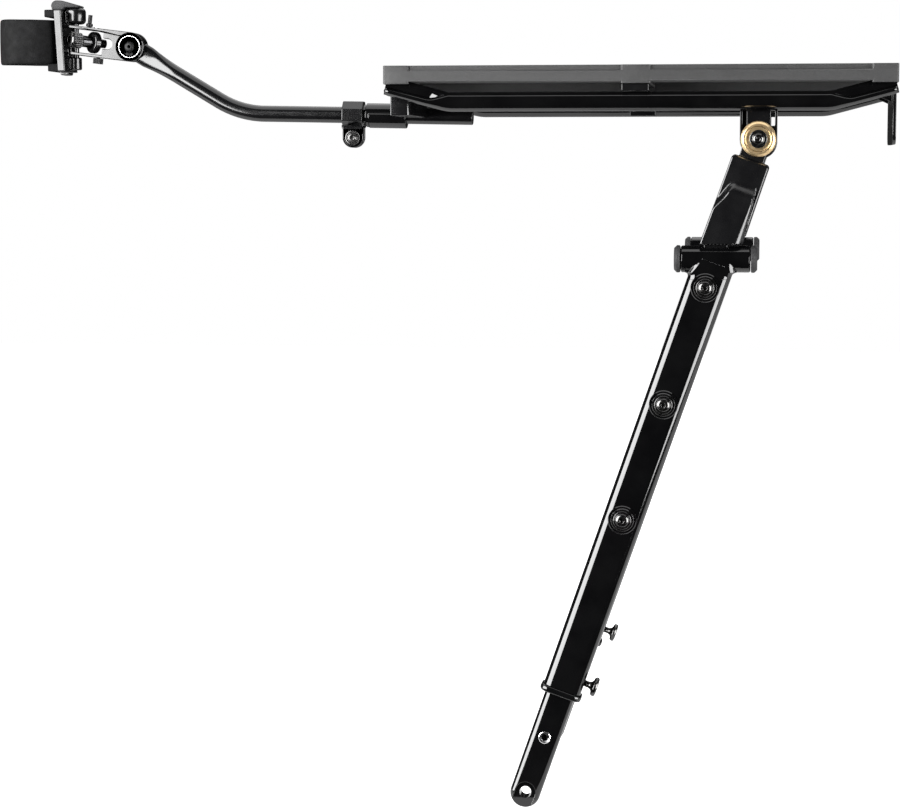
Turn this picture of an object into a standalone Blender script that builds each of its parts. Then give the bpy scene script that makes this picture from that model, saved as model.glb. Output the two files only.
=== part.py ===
"""Rear bicycle rack: a moulded deck on two rails, one front arm with a strap clamp, two telescopic legs.

Frame: X runs along the bicycle and +X is the rear, +Z is up, and the XZ plane is the plane of
symmetry. The origin is the centre of the deck's flat top. Lengths are in metres.
"""
from math import cos, pi, radians, sin, tan

import bmesh
import bpy
from mathutils import Matrix, Vector

MM = 0.001
GAP = 0.3 * MM                    # air between two pieces that touch on the real rack
LEFT, RIGHT = -1, 1
SIDES = {LEFT: "left", RIGHT: "right"}

# Deck
DECK_HALF_LENGTH = 132.2 * MM
DECK_HALF_WIDTH = 79.0 * MM
DECK_STRIP_DEPTH = 8.2 * MM       # between the cross blocks
DECK_BLOCK_DEPTH = 9.6 * MM       # at the three cross blocks
END_BLOCK_LENGTH = 13.4 * MM
MIDDLE_BLOCK = (-8.5 * MM, 6.7 * MM)
EDGE_STEP_DEPTH = 2.9 * MM
EDGE_STEP_INSET = 1.5 * MM
CHANNEL_HALF_WIDTH = 18.0 * MM
DECK_SKIN = 3.5 * MM

# Side rails: round bar, straight under the deck, rising into sockets in the end blocks
RAIL_RADIUS = 5.1 * MM
RAIL_Y = 72.8 * MM
RAIL_Z = -18.65 * MM
RAIL_BEND_X = 98.6 * MM
RAIL_RISE = radians(14.75)
RAIL_BEND_RADIUS = 22.0 * MM
RAIL_END_X = 129.6 * MM

# Arm: one round bar that slides in the sleeve; its axis falls slightly towards the rear
ARM_RADIUS = 4.45 * MM
ARM_FALL = radians(1.0)
ARM_RISE = radians(30.8)
ARM_BEND = Vector((-225.2, 0.0, -22.7)) * MM
ARM_BEND_RADIUS = 52.0 * MM
ARM_TAIL_X = -94.7 * MM
HEAD_PIVOT = Vector((-286.9, 0.0, 14.2)) * MM
EYE_RADIUS = 7.4 * MM
TAB_HALF_THICKNESS = 2.5 * MM

# Sleeve, collar clamp and front crossbar
SLEEVE_RADIUS = 6.6 * MM
SLEEVE_BORE = ARM_RADIUS + GAP
SLEEVE_X = (-153.8 * MM, -131.6 * MM)
STUB_RADIUS = 5.6 * MM
COLLAR_X = (-167.2 * MM, -154.9 * MM)
COLLAR_RADIUS = 7.5 * MM
COLLAR_BOLT = Vector((-160.9, 0.0, -36.3)) * MM
LUG_FACES = (1.2 * MM, 4.4 * MM)   # inner and outer face of each lug
CROSSBAR_X = (-131.3 * MM, -120.8 * MM)
CROSSBAR_Z = (-25.6 * MM, -12.6 * MM)

# Yoke and strap clamp
YOKE_TILT = radians(7.0)
YOKE_HALF_HEIGHT = 8.1 * MM
YOKE_HALF_WIDTH = 5.6 * MM
YOKE_FRONT = {1: -36.0 * MM, -1: -33.4 * MM}   # front ends of the upper and the lower bar
YOKE_BAR_INNER = 6.4 * MM
YOKE_WINDOW_REAR = -15.4 * MM
YOKE_SLOT_HALF = 2.9 * MM
PIVOT_BORE = 3.0 * MM
SWIVEL_X = -318.9 * MM
BARREL_Z = [(1.7 * MM, 8.6 * MM), (27.1 * MM, 36.0 * MM)]
SWIVEL_RADIUS = 5.6 * MM
SWIVEL_PIN_RADIUS = 1.6 * MM
TENSION_YAW = radians(45.0)
TENSION_NUT_FRONT = Vector((-23.2, -2.2, 0.0)) * MM
TENSION_NUT_THICKNESS = 4.2 * MM
TENSION_THREAD = 2.5 * MM
LOOP_X = -346.2 * MM
LOOP_RADIUS = 16.1 * MM
STRAP_THICKNESS = 2.2 * MM
STRAP_Z = (4.6 * MM, 29.3 * MM)
CRADLE_LEAN = radians(-8.7)

# Small screws in the yoke's bars: name, x, y, which bar, shank radius, head's (radius, height)
BAR_SCREWS = [
    ("stop_screw", -24.9 * MM, -2.2 * MM, 1, 1.15 * MM,
     [(1.6 * MM, 0.0), (1.6 * MM, 1.8 * MM), (1.15 * MM, 1.8 * MM), (1.15 * MM, 6.5 * MM)]),
    ("lock_screw", -20.9 * MM, -1.6 * MM, 1, 1.1 * MM,
     [(1.9 * MM, 0.0), (1.9 * MM, 3.2 * MM), (1.5 * MM, 3.8 * MM)]),
    ("clamp_knob", -17.9 * MM, -2.0 * MM, -1, 1.1 * MM,
     [(2.9 * MM, 0.0), (2.9 * MM, 2.9 * MM), (2.3 * MM, 3.4 * MM)]),
]

# Legs: measured along each leg from its top pivot
LEG_PIVOT = Vector((61.9, 0.0, -38.2)) * MM
LEG_ANGLE = radians(19.0)
LEG_Y = 76.0 * MM
LEG_WIDTH = 21.0 * MM
LEG_THICKNESS = 14.0 * MM
LEG_CORNER = 4.8 * MM
LEG_WALL = 2.0 * MM
BARREL_S = 64.9 * MM
BARREL_RADIUS = 6.9 * MM
BARREL_HALF_LENGTH = 17.8 * MM
BARREL_BORE = 4.7 * MM
PIN_RADIUS = 2.2 * MM
CAP_THICKNESS = 3.2 * MM
CAGE_BOLT_PITCH = 64.0 * MM
CAGE_BOLT_S = [80.4 * MM + CAGE_BOLT_PITCH * turn for turn in range(3)]
OUTER_END_S = 304.7 * MM
BAND_S = (305.0 * MM, 308.3 * MM)
SHOULDER_S = 23.3 * MM
THUMB_SCREW_S = 298.3 * MM
INNER_WIDTH = 16.1 * MM
INNER_THICKNESS = 9.0 * MM
INNER_CORNER = 3.8 * MM
INNER_TOP_S = 232.0 * MM
RIVET_NUT_S = 332.3 * MM
EYELET_S = 364.0 * MM
EYELET_RADIUS = 3.0 * MM
FOOT_SEAT = (6.9 * MM, 0.5 * MM)  # radius and height of the flat seat on the foot's inner side

COLORS = {
    "gloss_black": ((0.012, 0.012, 0.013, 1.0), 0.22, 0.0),
    "satin_black": ((0.030, 0.030, 0.032, 1.0), 0.35, 0.4),
    "black_oxide": ((0.020, 0.020, 0.022, 1.0), 0.30, 0.7),
    "deck_plastic": ((0.070, 0.070, 0.072, 1.0), 0.65, 0.0),
    "grey_plastic": ((0.100, 0.100, 0.103, 1.0), 0.55, 0.0),
    "rubber": ((0.025, 0.025, 0.026, 1.0), 0.80, 0.0),
    "brass": ((0.610, 0.430, 0.210, 1.0), 0.28, 1.0),
    "steel": ((0.420, 0.420, 0.430, 1.0), 0.30, 1.0),
}


# ---------------------------------------------------------------- scene and materials

def clear_scene():
    """Remove every object that the file opened with."""
    for item in list(bpy.data.objects):
        bpy.data.objects.remove(item, do_unlink=True)


def material(name):
    """The Principled material of that name, made once."""
    found = bpy.data.materials.get(name)
    if found:
        return found
    color, roughness, metallic = COLORS[name]
    made = bpy.data.materials.new(name)
    made.use_nodes = True
    shader = made.node_tree.nodes["Principled BSDF"]
    shader.inputs["Base Color"].default_value = color
    shader.inputs["Roughness"].default_value = roughness
    shader.inputs["Metallic"].default_value = metallic
    return made


def axis_empty(name, place, parent=None, rotation_y=0.0):
    """An empty that carries one body, with its origin on the body's joint axis."""
    empty = bpy.data.objects.new(name, None)
    bpy.context.collection.objects.link(empty)
    empty.location = place
    empty.rotation_euler = (0.0, rotation_y, 0.0)
    empty.parent = parent
    return empty


def to_object(name, shape, finish, parent=None, smooth_angle=radians(35)):
    """Turn a bmesh into a named object; the bmesh is used up."""
    bmesh.ops.remove_doubles(shape, verts=shape.verts, dist=1e-6)
    bmesh.ops.recalc_face_normals(shape, faces=shape.faces)
    mesh = bpy.data.meshes.new(name)
    shape.to_mesh(mesh)
    shape.free()
    mesh.shade_smooth()
    mesh.set_sharp_from_angle(angle=smooth_angle)
    mesh.materials.append(material(finish))
    made = bpy.data.objects.new(name, mesh)
    bpy.context.collection.objects.link(made)
    made.parent = parent
    return made


def boolean(target, shape, operation="DIFFERENCE"):
    """Cut a bmesh out of an object, or join it on, with a hidden helper object."""
    helper = to_object(target.name + "_helper", shape, "steel", target.parent)
    helper.hide_render = True
    helper.display_type = "WIRE"
    modifier = target.modifiers.new(operation.title(), "BOOLEAN")
    modifier.operation = operation
    modifier.solver = "EXACT"
    modifier.object = helper
    return target


def union(target, shape):
    """Weld a bmesh onto an object."""
    return boolean(target, shape, "UNION")


# ---------------------------------------------------------------- outlines and basic shapes

def arc(center, radius, start, end, steps):
    """Points on a circular arc, both ends included, angles in radians."""
    points = []
    for index in range(steps + 1):
        angle = start + (end - start) * index / steps
        points.append((center[0] + radius * cos(angle), center[1] + radius * sin(angle)))
    return points


def circle(radius, sides, center=(0.0, 0.0)):
    """A regular polygon that stands for a circle."""
    return arc(center, radius, 0.0, 2.0 * pi * (sides - 1) / sides, sides - 1)


def rounded_rectangle(width, height, corner, steps=4):
    """An upright rectangle about the origin with round corners."""
    points = []
    for turn, (side_u, side_v) in enumerate([(1, 1), (-1, 1), (-1, -1), (1, -1)]):
        center = (side_u * (width / 2 - corner), side_v * (height / 2 - corner))
        points += arc(center, corner, turn * pi / 2, (turn + 1) * pi / 2, steps)
    return points


def loft(sections):
    """Join closed loops of 3-D points into a solid with flat ends."""
    shape = bmesh.new()
    loops = [[shape.verts.new(point) for point in section] for section in sections]
    for near, far in zip(loops, loops[1:]):
        for index in range(len(near)):
            after = (index + 1) % len(near)
            shape.faces.new((near[index], near[after], far[after], far[index]))
    shape.faces.new(list(reversed(loops[0])))
    shape.faces.new(loops[-1])
    return shape


def extrude_y(outline, low, high):
    """An outline in X and Z, made solid between two values of Y."""
    return loft([[Vector((x, y, z)) for x, z in outline] for y in (low, high)])


def extrude_x(outline, low, high):
    """An outline in Y and Z, made solid between two values of X."""
    return loft([[Vector((x, y, z)) for y, z in outline] for x in (low, high)])


def extrude_z(outline, low, high):
    """An outline in X and Y, made solid between two values of Z."""
    return loft([[Vector((x, y, z)) for x, y in outline] for z in (low, high)])


def box(low, high):
    """A rectangular block between two corners."""
    outline = [(low[0], low[1]), (high[0], low[1]), (high[0], high[1]), (low[0], high[1])]
    return extrude_z(outline, low[2], high[2])


def turned(profile, sides=24):
    """A solid of revolution about Z from (radius, height) points, bottom to top.

    A first or last radius of zero closes that end in a point; any other is closed flat.
    """
    shape = bmesh.new()
    rings = []
    for radius, height in profile:
        if radius == 0.0:
            rings.append([shape.verts.new((0.0, 0.0, height))])
        else:
            rings.append([shape.verts.new((x, y, height)) for x, y in circle(radius, sides)])
    for near, far in zip(rings, rings[1:]):
        for index in range(sides):
            after = (index + 1) % sides
            corners = [near[index % len(near)], near[after % len(near)]]
            corners += [far[after % len(far)], far[index % len(far)]]
            unique = list(dict.fromkeys(corners))
            if len(unique) > 2:
                shape.faces.new(unique)
    if len(rings[0]) > 1:
        shape.faces.new(list(reversed(rings[0])))
    if len(rings[-1]) > 1:
        shape.faces.new(rings[-1])
    return shape


def ring(profile, sides=24):
    """A turned ring about Z from a closed loop of (radius, height) points."""
    shape = bmesh.new()
    loops = [[shape.verts.new((x, y, height)) for x, y in circle(radius, sides)]
             for radius, height in profile]
    for near, far in zip(loops, loops[1:] + loops[:1]):
        for index in range(sides):
            after = (index + 1) % sides
            shape.faces.new((near[index], near[after], far[after], far[index]))
    return shape


def pointing(shape, direction, place=(0.0, 0.0, 0.0)):
    """Turn a shape made about +Z to point along a direction, and move it."""
    turn = Vector((0.0, 0.0, 1.0)).rotation_difference(Vector(direction)).to_matrix().to_4x4()
    shape.transform(Matrix.Translation(Vector(place)) @ turn)
    return shape


def rod(start, end, radius, sides=16):
    """A straight round bar between two points."""
    start, end = Vector(start), Vector(end)
    length = (end - start).length
    return pointing(turned([(radius, 0.0), (radius, length)], sides), end - start, start)


def filleted_path(corners, radius, steps=3):
    """A path in the XZ plane through corner points, with each inner corner made an arc."""
    path = [corners[0]]
    for before, corner, after in zip(corners, corners[1:], corners[2:]):
        into = (corner - before).normalized()
        out = (after - corner).normalized()
        turn = into.angle(out)
        reach = radius * tan(turn / 2)
        start = corner - into * reach
        toward_center = (out - into).normalized()
        center = corner + toward_center * (radius / cos(turn / 2))
        arm = start - center
        axis = into.cross(out).normalized()
        for index in range(steps + 1):
            path.append(center + Matrix.Rotation(turn * index / steps, 3, axis) @ arm)
    path.append(corners[-1])
    return path


def swept(path, section_at):
    """Sweep a section along a path in the XZ plane; section_at gives (across, up) points."""
    sections = []
    for index, point in enumerate(path):
        before = path[max(index - 1, 0)]
        after = path[min(index + 1, len(path) - 1)]
        along = (after - before).normalized()
        across = Vector((0.0, 1.0, 0.0))
        up = along.cross(across)
        section = section_at(index)
        sections.append([point + across * u + up * v for u, v in section])
    return loft(sections)


# ---------------------------------------------------------------- fasteners

def socket_bolt(name, head_radius, head_height, shank_radius, shank_length, parent, place, out,
                dome=0.25, key_radius=None):
    """A socket head bolt; its head's seat is at place and its head points along out."""
    key_radius = key_radius or 0.42 * head_radius
    lip = dome * head_height
    profile = [(shank_radius, -shank_length), (shank_radius, 0.0), (head_radius, 0.0),
               (head_radius, head_height - lip), (head_radius - 1.3 * lip, head_height)]
    bolt = to_object(name, pointing(turned(profile, 14), out, place), "black_oxide", parent)
    depth = 0.55 * head_height
    key = turned([(key_radius, head_height - depth), (key_radius, head_height + MM)], 6)
    return boolean(bolt, pointing(key, out, place))


def nut(name, corner_radius, bore_radius, height, finish, parent, place, out, sides=6):
    """A nut whose seat is at place; its bore is a polygon that clears a round bore_radius."""
    bore = bore_radius / cos(pi / sides)
    shape = ring([(bore, 0.0), (corner_radius, 0.0), (corner_radius, height), (bore, height)], sides)
    shape.transform(Matrix.Rotation(pi / sides, 4, "Z"))
    return to_object(name, pointing(shape, out, place), finish, parent)


def washer(name, outer, inner, thickness, finish, parent, place, out, sides=18):
    """A flat washer whose near face is at place."""
    profile = [(inner, 0.0), (outer, 0.0), (outer, thickness), (inner, thickness)]
    return to_object(name, pointing(ring(profile, sides), out, place), finish, parent)


# ---------------------------------------------------------------- deck and rails

def rail_path(margin=0.0):
    """Centre line of a side rail in its own plane; a margin lengthens both ends."""
    end_x = RAIL_END_X + margin
    end_z = RAIL_Z + (end_x - RAIL_BEND_X) * tan(RAIL_RISE)
    corners = [Vector((-end_x, 0.0, end_z)), Vector((-RAIL_BEND_X, 0.0, RAIL_Z)),
               Vector((RAIL_BEND_X, 0.0, RAIL_Z)), Vector((end_x, 0.0, end_z))]
    return filleted_path(corners, RAIL_BEND_RADIUS)


def rail_solid(radius, side, margin=0.0, sides=14):
    """A side rail as a round bar, also used a little larger to cut the deck's sockets."""
    path = rail_path(margin)
    shape = swept(path, lambda index: circle(radius, sides))
    shape.transform(Matrix.Translation((0.0, side * RAIL_Y, 0.0)))
    return shape


def deck_profile():
    """Cross-section of the deck between its blocks: stepped top edges, channel underneath."""
    half = [(CHANNEL_HALF_WIDTH, -DECK_SKIN), (CHANNEL_HALF_WIDTH, -DECK_STRIP_DEPTH),
            (DECK_HALF_WIDTH, -DECK_STRIP_DEPTH), (DECK_HALF_WIDTH, -EDGE_STEP_DEPTH),
            (DECK_HALF_WIDTH - EDGE_STEP_INSET, -EDGE_STEP_DEPTH),
            (DECK_HALF_WIDTH - EDGE_STEP_INSET, 0.0)]
    mirrored = [(-y, z) for y, z in reversed(half)]
    return half + mirrored


def deck_platform():
    """Moulded platform with three full-depth cross blocks and ribbed pockets in its top."""
    deck = to_object("deck_platform", extrude_x(deck_profile(), -DECK_HALF_LENGTH + MM,
                                                DECK_HALF_LENGTH - MM), "deck_plastic")
    inner_end = DECK_HALF_LENGTH - END_BLOCK_LENGTH
    blocks = [(-DECK_HALF_LENGTH, -inner_end), MIDDLE_BLOCK, (inner_end, DECK_HALF_LENGTH)]
    for low_x, high_x in blocks:
        outline = rounded_rectangle(high_x - low_x, 2 * DECK_HALF_WIDTH, 1.0 * MM, 2)
        block = extrude_z(outline, -DECK_BLOCK_DEPTH, 0.0)
        block.transform(Matrix.Translation(((low_x + high_x) / 2, 0.0, 0.0)))
        union(deck, block)
    for side in SIDES:
        boolean(deck, rail_solid(RAIL_RADIUS + GAP, side, 0.3 * MM))
    margin = 4 * MM
    pocket_ends = [(-inner_end + margin, MIDDLE_BLOCK[0] - margin),
                   (MIDDLE_BLOCK[1] + margin, inner_end - margin)]
    pocket_depth = 1.6 * MM
    pocket_width = 17.0 * MM
    row_pitch = 24.0 * MM
    for low_x, high_x in pocket_ends:
        outline = rounded_rectangle(high_x - low_x, pocket_width, 3 * MM, 3)
        for row in (-1.5, -0.5, 0.5, 1.5):
            pocket = extrude_z(outline, -pocket_depth, MM)
            pocket.transform(Matrix.Translation(((low_x + high_x) / 2, row * row_pitch, 0.0)))
            boolean(deck, pocket)
    return deck


def side_rails():
    """The two bars that carry the deck and the legs."""
    for side, word in SIDES.items():
        to_object("rail_" + word, rail_solid(RAIL_RADIUS, side), "gloss_black")


def front_crossbar():
    """Bar between the rails at the front that carries the sleeve; the arm's tail passes through."""
    middle_x = sum(CROSSBAR_X) / 2
    middle_z = sum(CROSSBAR_Z) / 2
    width = CROSSBAR_X[1] - CROSSBAR_X[0]
    height = CROSSBAR_Z[1] - CROSSBAR_Z[0]
    outline = [(x + middle_x, z + middle_z) for x, z in rounded_rectangle(width, height, 1.2 * MM, 2)]
    half_span = RAIL_Y - RAIL_RADIUS - 0.5 * MM
    bar = to_object("front_crossbar", extrude_y(outline, -half_span, half_span), "satin_black")
    boolean(bar, arm_line_rod(CROSSBAR_X[0] - 2 * MM, CROSSBAR_X[1] + 2 * MM, SLEEVE_BORE))
    return bar


def middle_bracket():
    """Flat bar across the rails under the deck's middle block, with a flanged mudguard tab."""
    low_x, high_x = MIDDLE_BLOCK[0] + 0.3 * MM, MIDDLE_BLOCK[1] - 1.0 * MM
    top = -DECK_BLOCK_DEPTH - GAP
    under = RAIL_Z + RAIL_RADIUS + GAP
    span = RAIL_Y + RAIL_RADIUS
    bar = box((low_x, -span, under), (high_x, span, top))
    bracket = to_object("middle_bracket", bar, "satin_black")
    tab_bottom = -24.7 * MM
    wall = 2.2 * MM
    depth = 8.0 * MM
    tab = box((low_x, -depth / 2, tab_bottom), (high_x, depth / 2, under + 1.0 * MM))
    union(bracket, tab)
    recess = box((low_x + wall, -depth / 2 - MM, tab_bottom + wall),
                 (high_x - wall, depth / 2 - 1.8 * MM, under - 0.5 * MM))
    boolean(bracket, recess)
    center_x = (low_x + high_x) / 2
    hole = rod((center_x, 0.0, -19.2 * MM), (center_x, depth, -19.2 * MM), 2.6 * MM)
    return boolean(bracket, hole)


def light_bracket():
    """Upright plate under the rear edge for a light, on a flange with two gussets."""
    thickness = 1.9 * MM
    half_width = 31.0 * MM
    rear = 133.4 * MM
    bottom = -40.6 * MM
    top = -DECK_BLOCK_DEPTH - GAP
    flange_front = 118.5 * MM
    corner = 6.0 * MM
    lower = arc((half_width - corner, bottom + corner), corner, -pi / 2, 0.0, 4)
    outline = lower + [(half_width, top), (-half_width, top)]
    outline += [(-y, z) for y, z in reversed(lower)]
    bracket = to_object("light_bracket", extrude_x(outline, rear - thickness, rear), "satin_black")
    union(bracket, box((flange_front, -half_width, top - 2.2 * MM), (rear - MM, half_width, top)))
    for gusset_y in (-20 * MM, 20 * MM):
        web = [(rear - MM, top - MM), (flange_front + 2 * MM, top - MM),
               (flange_front + 2 * MM, top - 3.6 * MM), (rear - MM, -18.7 * MM)]
        union(bracket, extrude_y(web, gusset_y - 1.2 * MM, gusset_y + 1.2 * MM))
    for hole_y in (-25 * MM, 25 * MM):
        hole = rod((rear - 4 * MM, hole_y, -31 * MM), (rear + 2 * MM, hole_y, -31 * MM), 2.6 * MM)
        boolean(bracket, hole)
    return bracket


# ---------------------------------------------------------------- sleeve, collar and arm

def arm_line(x):
    """The point of the arm's straight axis at that x."""
    return Vector((x, 0.0, ARM_BEND.z - (x - ARM_BEND.x) * tan(ARM_FALL)))


def arm_line_rod(low_x, high_x, radius, sides=18):
    """A round bar along the arm's straight axis between two values of x."""
    return rod(arm_line(low_x), arm_line(high_x), radius, sides)


def sleeve():
    """Tube welded to the crossbar; its thinner front end is slit and sits in the collar."""
    stub_front = COLLAR_X[0] + 0.6 * MM
    tube = to_object("sleeve", arm_line_rod(SLEEVE_X[0], SLEEVE_X[1], SLEEVE_RADIUS), "gloss_black")
    union(tube, arm_line_rod(stub_front, SLEEVE_X[0] + 2 * MM, STUB_RADIUS))
    boolean(tube, arm_line_rod(stub_front - 5 * MM, SLEEVE_X[1] + 5 * MM, SLEEVE_BORE))
    slit_half = 0.8 * MM
    slit_z = arm_line(stub_front).z
    slit = box((stub_front - MM, -slit_half, slit_z - 9 * MM),
               (SLEEVE_X[0] + 1.2 * MM, slit_half, slit_z - 2 * MM))
    return boolean(tube, slit)


def collar():
    """Split clamp ring with two lugs that its bolt draws together."""
    middle = arm_line(sum(COLLAR_X) / 2)
    band = arm_line_rod(COLLAR_X[0], COLLAR_X[1], COLLAR_RADIUS, 28)
    ring_body = to_object("collar_clamp", band, "satin_black")
    half_width = (COLLAR_X[1] - COLLAR_X[0]) / 2
    end = arc((middle.x, COLLAR_BOLT.z + 0.2 * MM), half_width, -pi, 0.0, 10)
    outline = end + [(middle.x + half_width, middle.z), (middle.x - half_width, middle.z)]
    inner, outer = LUG_FACES
    union(ring_body, extrude_y(outline, -outer, outer))
    bore = arm_line_rod(COLLAR_X[0] - 2 * MM, COLLAR_X[1] + 2 * MM, STUB_RADIUS + GAP, 28)
    boolean(ring_body, bore)
    gap = box((COLLAR_X[0] - MM, -inner, COLLAR_BOLT.z - 9 * MM), (COLLAR_X[1] + MM, inner, middle.z))
    boolean(ring_body, gap)
    across = Vector((0.0, 1.0, 0.0))
    shank = 2.4 * MM
    reach = 9 * MM
    boolean(ring_body, rod(COLLAR_BOLT - across * reach, COLLAR_BOLT + across * reach, shank + GAP))
    seat = COLLAR_BOLT - across * (outer + GAP)
    socket_bolt("collar_bolt", 4.1 * MM, 3.6 * MM, shank, 11.6 * MM, None, seat, -across)
    seat = COLLAR_BOLT + across * (outer + GAP)
    nut("collar_nut", 4.5 * MM, shank + GAP, 3.2 * MM, "black_oxide", None, seat, across)
    return ring_body


def arm_sections(count_bar, count_taper):
    """Half-width across and half-height of each section, from the tail to the flat tongue."""
    sizes = [(ARM_RADIUS, ARM_RADIUS)] * count_bar
    tongue_half_height = 0.8 * EYE_RADIUS
    for step in range(1, count_taper + 1):
        share = step / count_taper
        across = ARM_RADIUS + (TAB_HALF_THICKNESS - ARM_RADIUS) * share
        up = ARM_RADIUS + (tongue_half_height - ARM_RADIUS) * share ** 2
        sizes.append((across, up))
    return sizes + sizes[-1:]


def arm(parent):
    """Bent bar with a flattened front end that holds the head pivot's eye."""
    rise = Vector((-cos(ARM_RISE), 0.0, sin(ARM_RISE)))
    reach = (HEAD_PIVOT - ARM_BEND).length
    taper_start = ARM_BEND + rise * (reach - 30 * MM)
    taper_length = 19 * MM
    taper_steps = 4
    tongue_end = taper_start + rise * (24 * MM)
    corners = [arm_line(ARM_TAIL_X), ARM_BEND, taper_start]
    bar = filleted_path(corners, ARM_BEND_RADIUS, 6)
    taper = [taper_start + rise * (taper_length * step / taper_steps)
             for step in range(1, taper_steps + 1)]
    path = [point - HEAD_PIVOT for point in bar + taper + [tongue_end]]
    sizes = arm_sections(len(bar), taper_steps)

    def section_at(index):
        across, up = sizes[index]
        return [(u * across, v * up) for u, v in circle(1.0, 14)]

    made = to_object("arm", swept(path, section_at), "satin_black", parent)
    eye = rod((0.0, -TAB_HALF_THICKNESS, 0.0), (0.0, TAB_HALF_THICKNESS, 0.0), EYE_RADIUS, 22)
    union(made, eye)
    return boolean(made, rod((0.0, -9 * MM, 0.0), (0.0, 9 * MM, 0.0), PIVOT_BORE, 14))


# ---------------------------------------------------------------- yoke and strap clamp

def in_yoke(point):
    """A point of the rack, in the yoke's own tilted frame."""
    return Matrix.Rotation(-YOKE_TILT, 3, "Y") @ (Vector(point) - HEAD_PIVOT)


def yoke_outline():
    """Side outline of the yoke: round at the pivot, straight to its front."""
    back = arc((0.0, 0.0), YOKE_HALF_HEIGHT, -pi / 2, pi / 2, 12)
    return back + [(YOKE_FRONT[1], YOKE_HALF_HEIGHT), (YOKE_FRONT[-1], -YOKE_HALF_HEIGHT)]


def yoke(parent):
    """Forked block: a slot for the arm's eye behind, two swivel bars in front."""
    solid = extrude_y(yoke_outline(), -YOKE_HALF_WIDTH, YOKE_HALF_WIDTH)
    body = to_object("yoke", solid, "satin_black", parent)
    far = 12 * MM
    front = YOKE_FRONT[1] - MM
    window = [(YOKE_WINDOW_REAR, -YOKE_BAR_INNER), (YOKE_WINDOW_REAR, YOKE_BAR_INNER),
              (front, YOKE_BAR_INNER), (front, -YOKE_BAR_INNER)]
    boolean(body, extrude_y(window, -far, far))
    slot_front = YOKE_WINDOW_REAR - MM
    slot = arc((-12.6 * MM, 0.0), YOKE_SLOT_HALF, -pi / 2, pi / 2, 8)
    slot += [(slot_front, YOKE_SLOT_HALF), (slot_front, -YOKE_SLOT_HALF)]
    boolean(body, extrude_y(slot, -far, far))
    tab_gap = TAB_HALF_THICKNESS + GAP
    boolean(body, box((-EYE_RADIUS - 0.8 * MM, -tab_gap, -far), (far, tab_gap, far)))
    boolean(body, rod((0.0, -far, 0.0), (0.0, far, 0.0), PIVOT_BORE, 14))
    for side in (-1, 1):
        start = (0.0, side * (YOKE_HALF_WIDTH - 1.2 * MM), 0.0)
        boolean(body, rod(start, (0.0, side * far, 0.0), 6.3 * MM, 20))
    pin_low = in_yoke((SWIVEL_X, 0.0, HEAD_PIVOT.z - 2 * far))
    pin_high = in_yoke((SWIVEL_X, 0.0, HEAD_PIVOT.z + 2 * far))
    boolean(body, rod(pin_low, pin_high, SWIVEL_PIN_RADIUS + GAP, 14))
    for _, x, y, up, shank, _ in BAR_SCREWS:
        inside = (x, y, up * (YOKE_BAR_INNER - MM))
        boolean(body, rod(inside, (x, y, up * far), shank + GAP, 12))
    return body


def head_pivot_pieces(parent):
    """Bolt, bright bush ring and nut of the pivot between the arm and the yoke."""
    seat_y = YOKE_HALF_WIDTH - 1.2 * MM + GAP
    out = (0.0, -1.0, 0.0)
    ring_thickness = 1.4 * MM
    shank = 2.6 * MM
    washer("head_pivot_ring", 5.9 * MM, 3.2 * MM, ring_thickness, "steel", parent,
           (0.0, -seat_y, 0.0), out, 20)
    bolt_seat = (0.0, -seat_y - ring_thickness - GAP, 0.0)
    socket_bolt("head_pivot_bolt", 4.4 * MM, 1.8 * MM, shank, 2 * seat_y + 3.6 * MM, parent,
                bolt_seat, out, key_radius=2.2 * MM)
    nut("head_pivot_nut", 4.8 * MM, shank + GAP, 2.4 * MM, "black_oxide", parent,
        (0.0, seat_y, 0.0), (0.0, 1.0, 0.0))


def tension_pieces(parent):
    """Tension screw that lies slantwise in the yoke's window, and its octagonal nut."""
    along = Vector((cos(TENSION_YAW), sin(TENSION_YAW), 0.0))
    neck_length = 6.7 * MM
    neck_radius = 3.2 * MM
    head_length = 7.0 * MM
    head_radius = 4.3 * MM
    chamfer = 0.6 * MM
    seat = TENSION_NUT_FRONT - along * neck_length
    neck_end = GAP - neck_length
    thread_end = -neck_length - TENSION_NUT_THICKNESS - 5.0 * MM
    profile = [(TENSION_THREAD, thread_end), (TENSION_THREAD, neck_end), (neck_radius, neck_end),
               (neck_radius, 0.0), (head_radius, 0.0), (head_radius, head_length - chamfer),
               (head_radius - chamfer, head_length)]
    screw = to_object("tension_screw", pointing(turned(profile, 18), -along, seat), "black_oxide",
                      parent)
    key = turned([(2.1 * MM, head_length - 4 * MM), (2.1 * MM, head_length + MM)], 6)
    boolean(screw, pointing(key, -along, seat))
    nut("tension_nut", 6.0 * MM, TENSION_THREAD + GAP, TENSION_NUT_THICKNESS, "satin_black", parent,
        TENSION_NUT_FRONT, along, 8)


def bar_screws(parent):
    """Small turned screws that stand in the yoke's bars; heights are from the bar's outer face."""
    for name, x, y, up, shank, head in BAR_SCREWS:
        tip = YOKE_BAR_INNER + 0.1 * MM - YOKE_HALF_HEIGHT - GAP
        profile = [(shank, tip), (shank, 0.0)] + head
        seat = (x, y, up * (YOKE_HALF_HEIGHT + GAP))
        to_object(name, pointing(turned(profile, 12), (0.0, 0.0, up), seat), "black_oxide", parent)


def swivel_pin(parent):
    """Upright pin through the cradle's two barrels and the yoke's two bars."""
    pin = rod((0.0, 0.0, 2.2 * MM), (0.0, 0.0, 33.0 * MM), SWIVEL_PIN_RADIUS, 14)
    return to_object("swivel_pin", pin, "black_oxide", parent)


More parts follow.
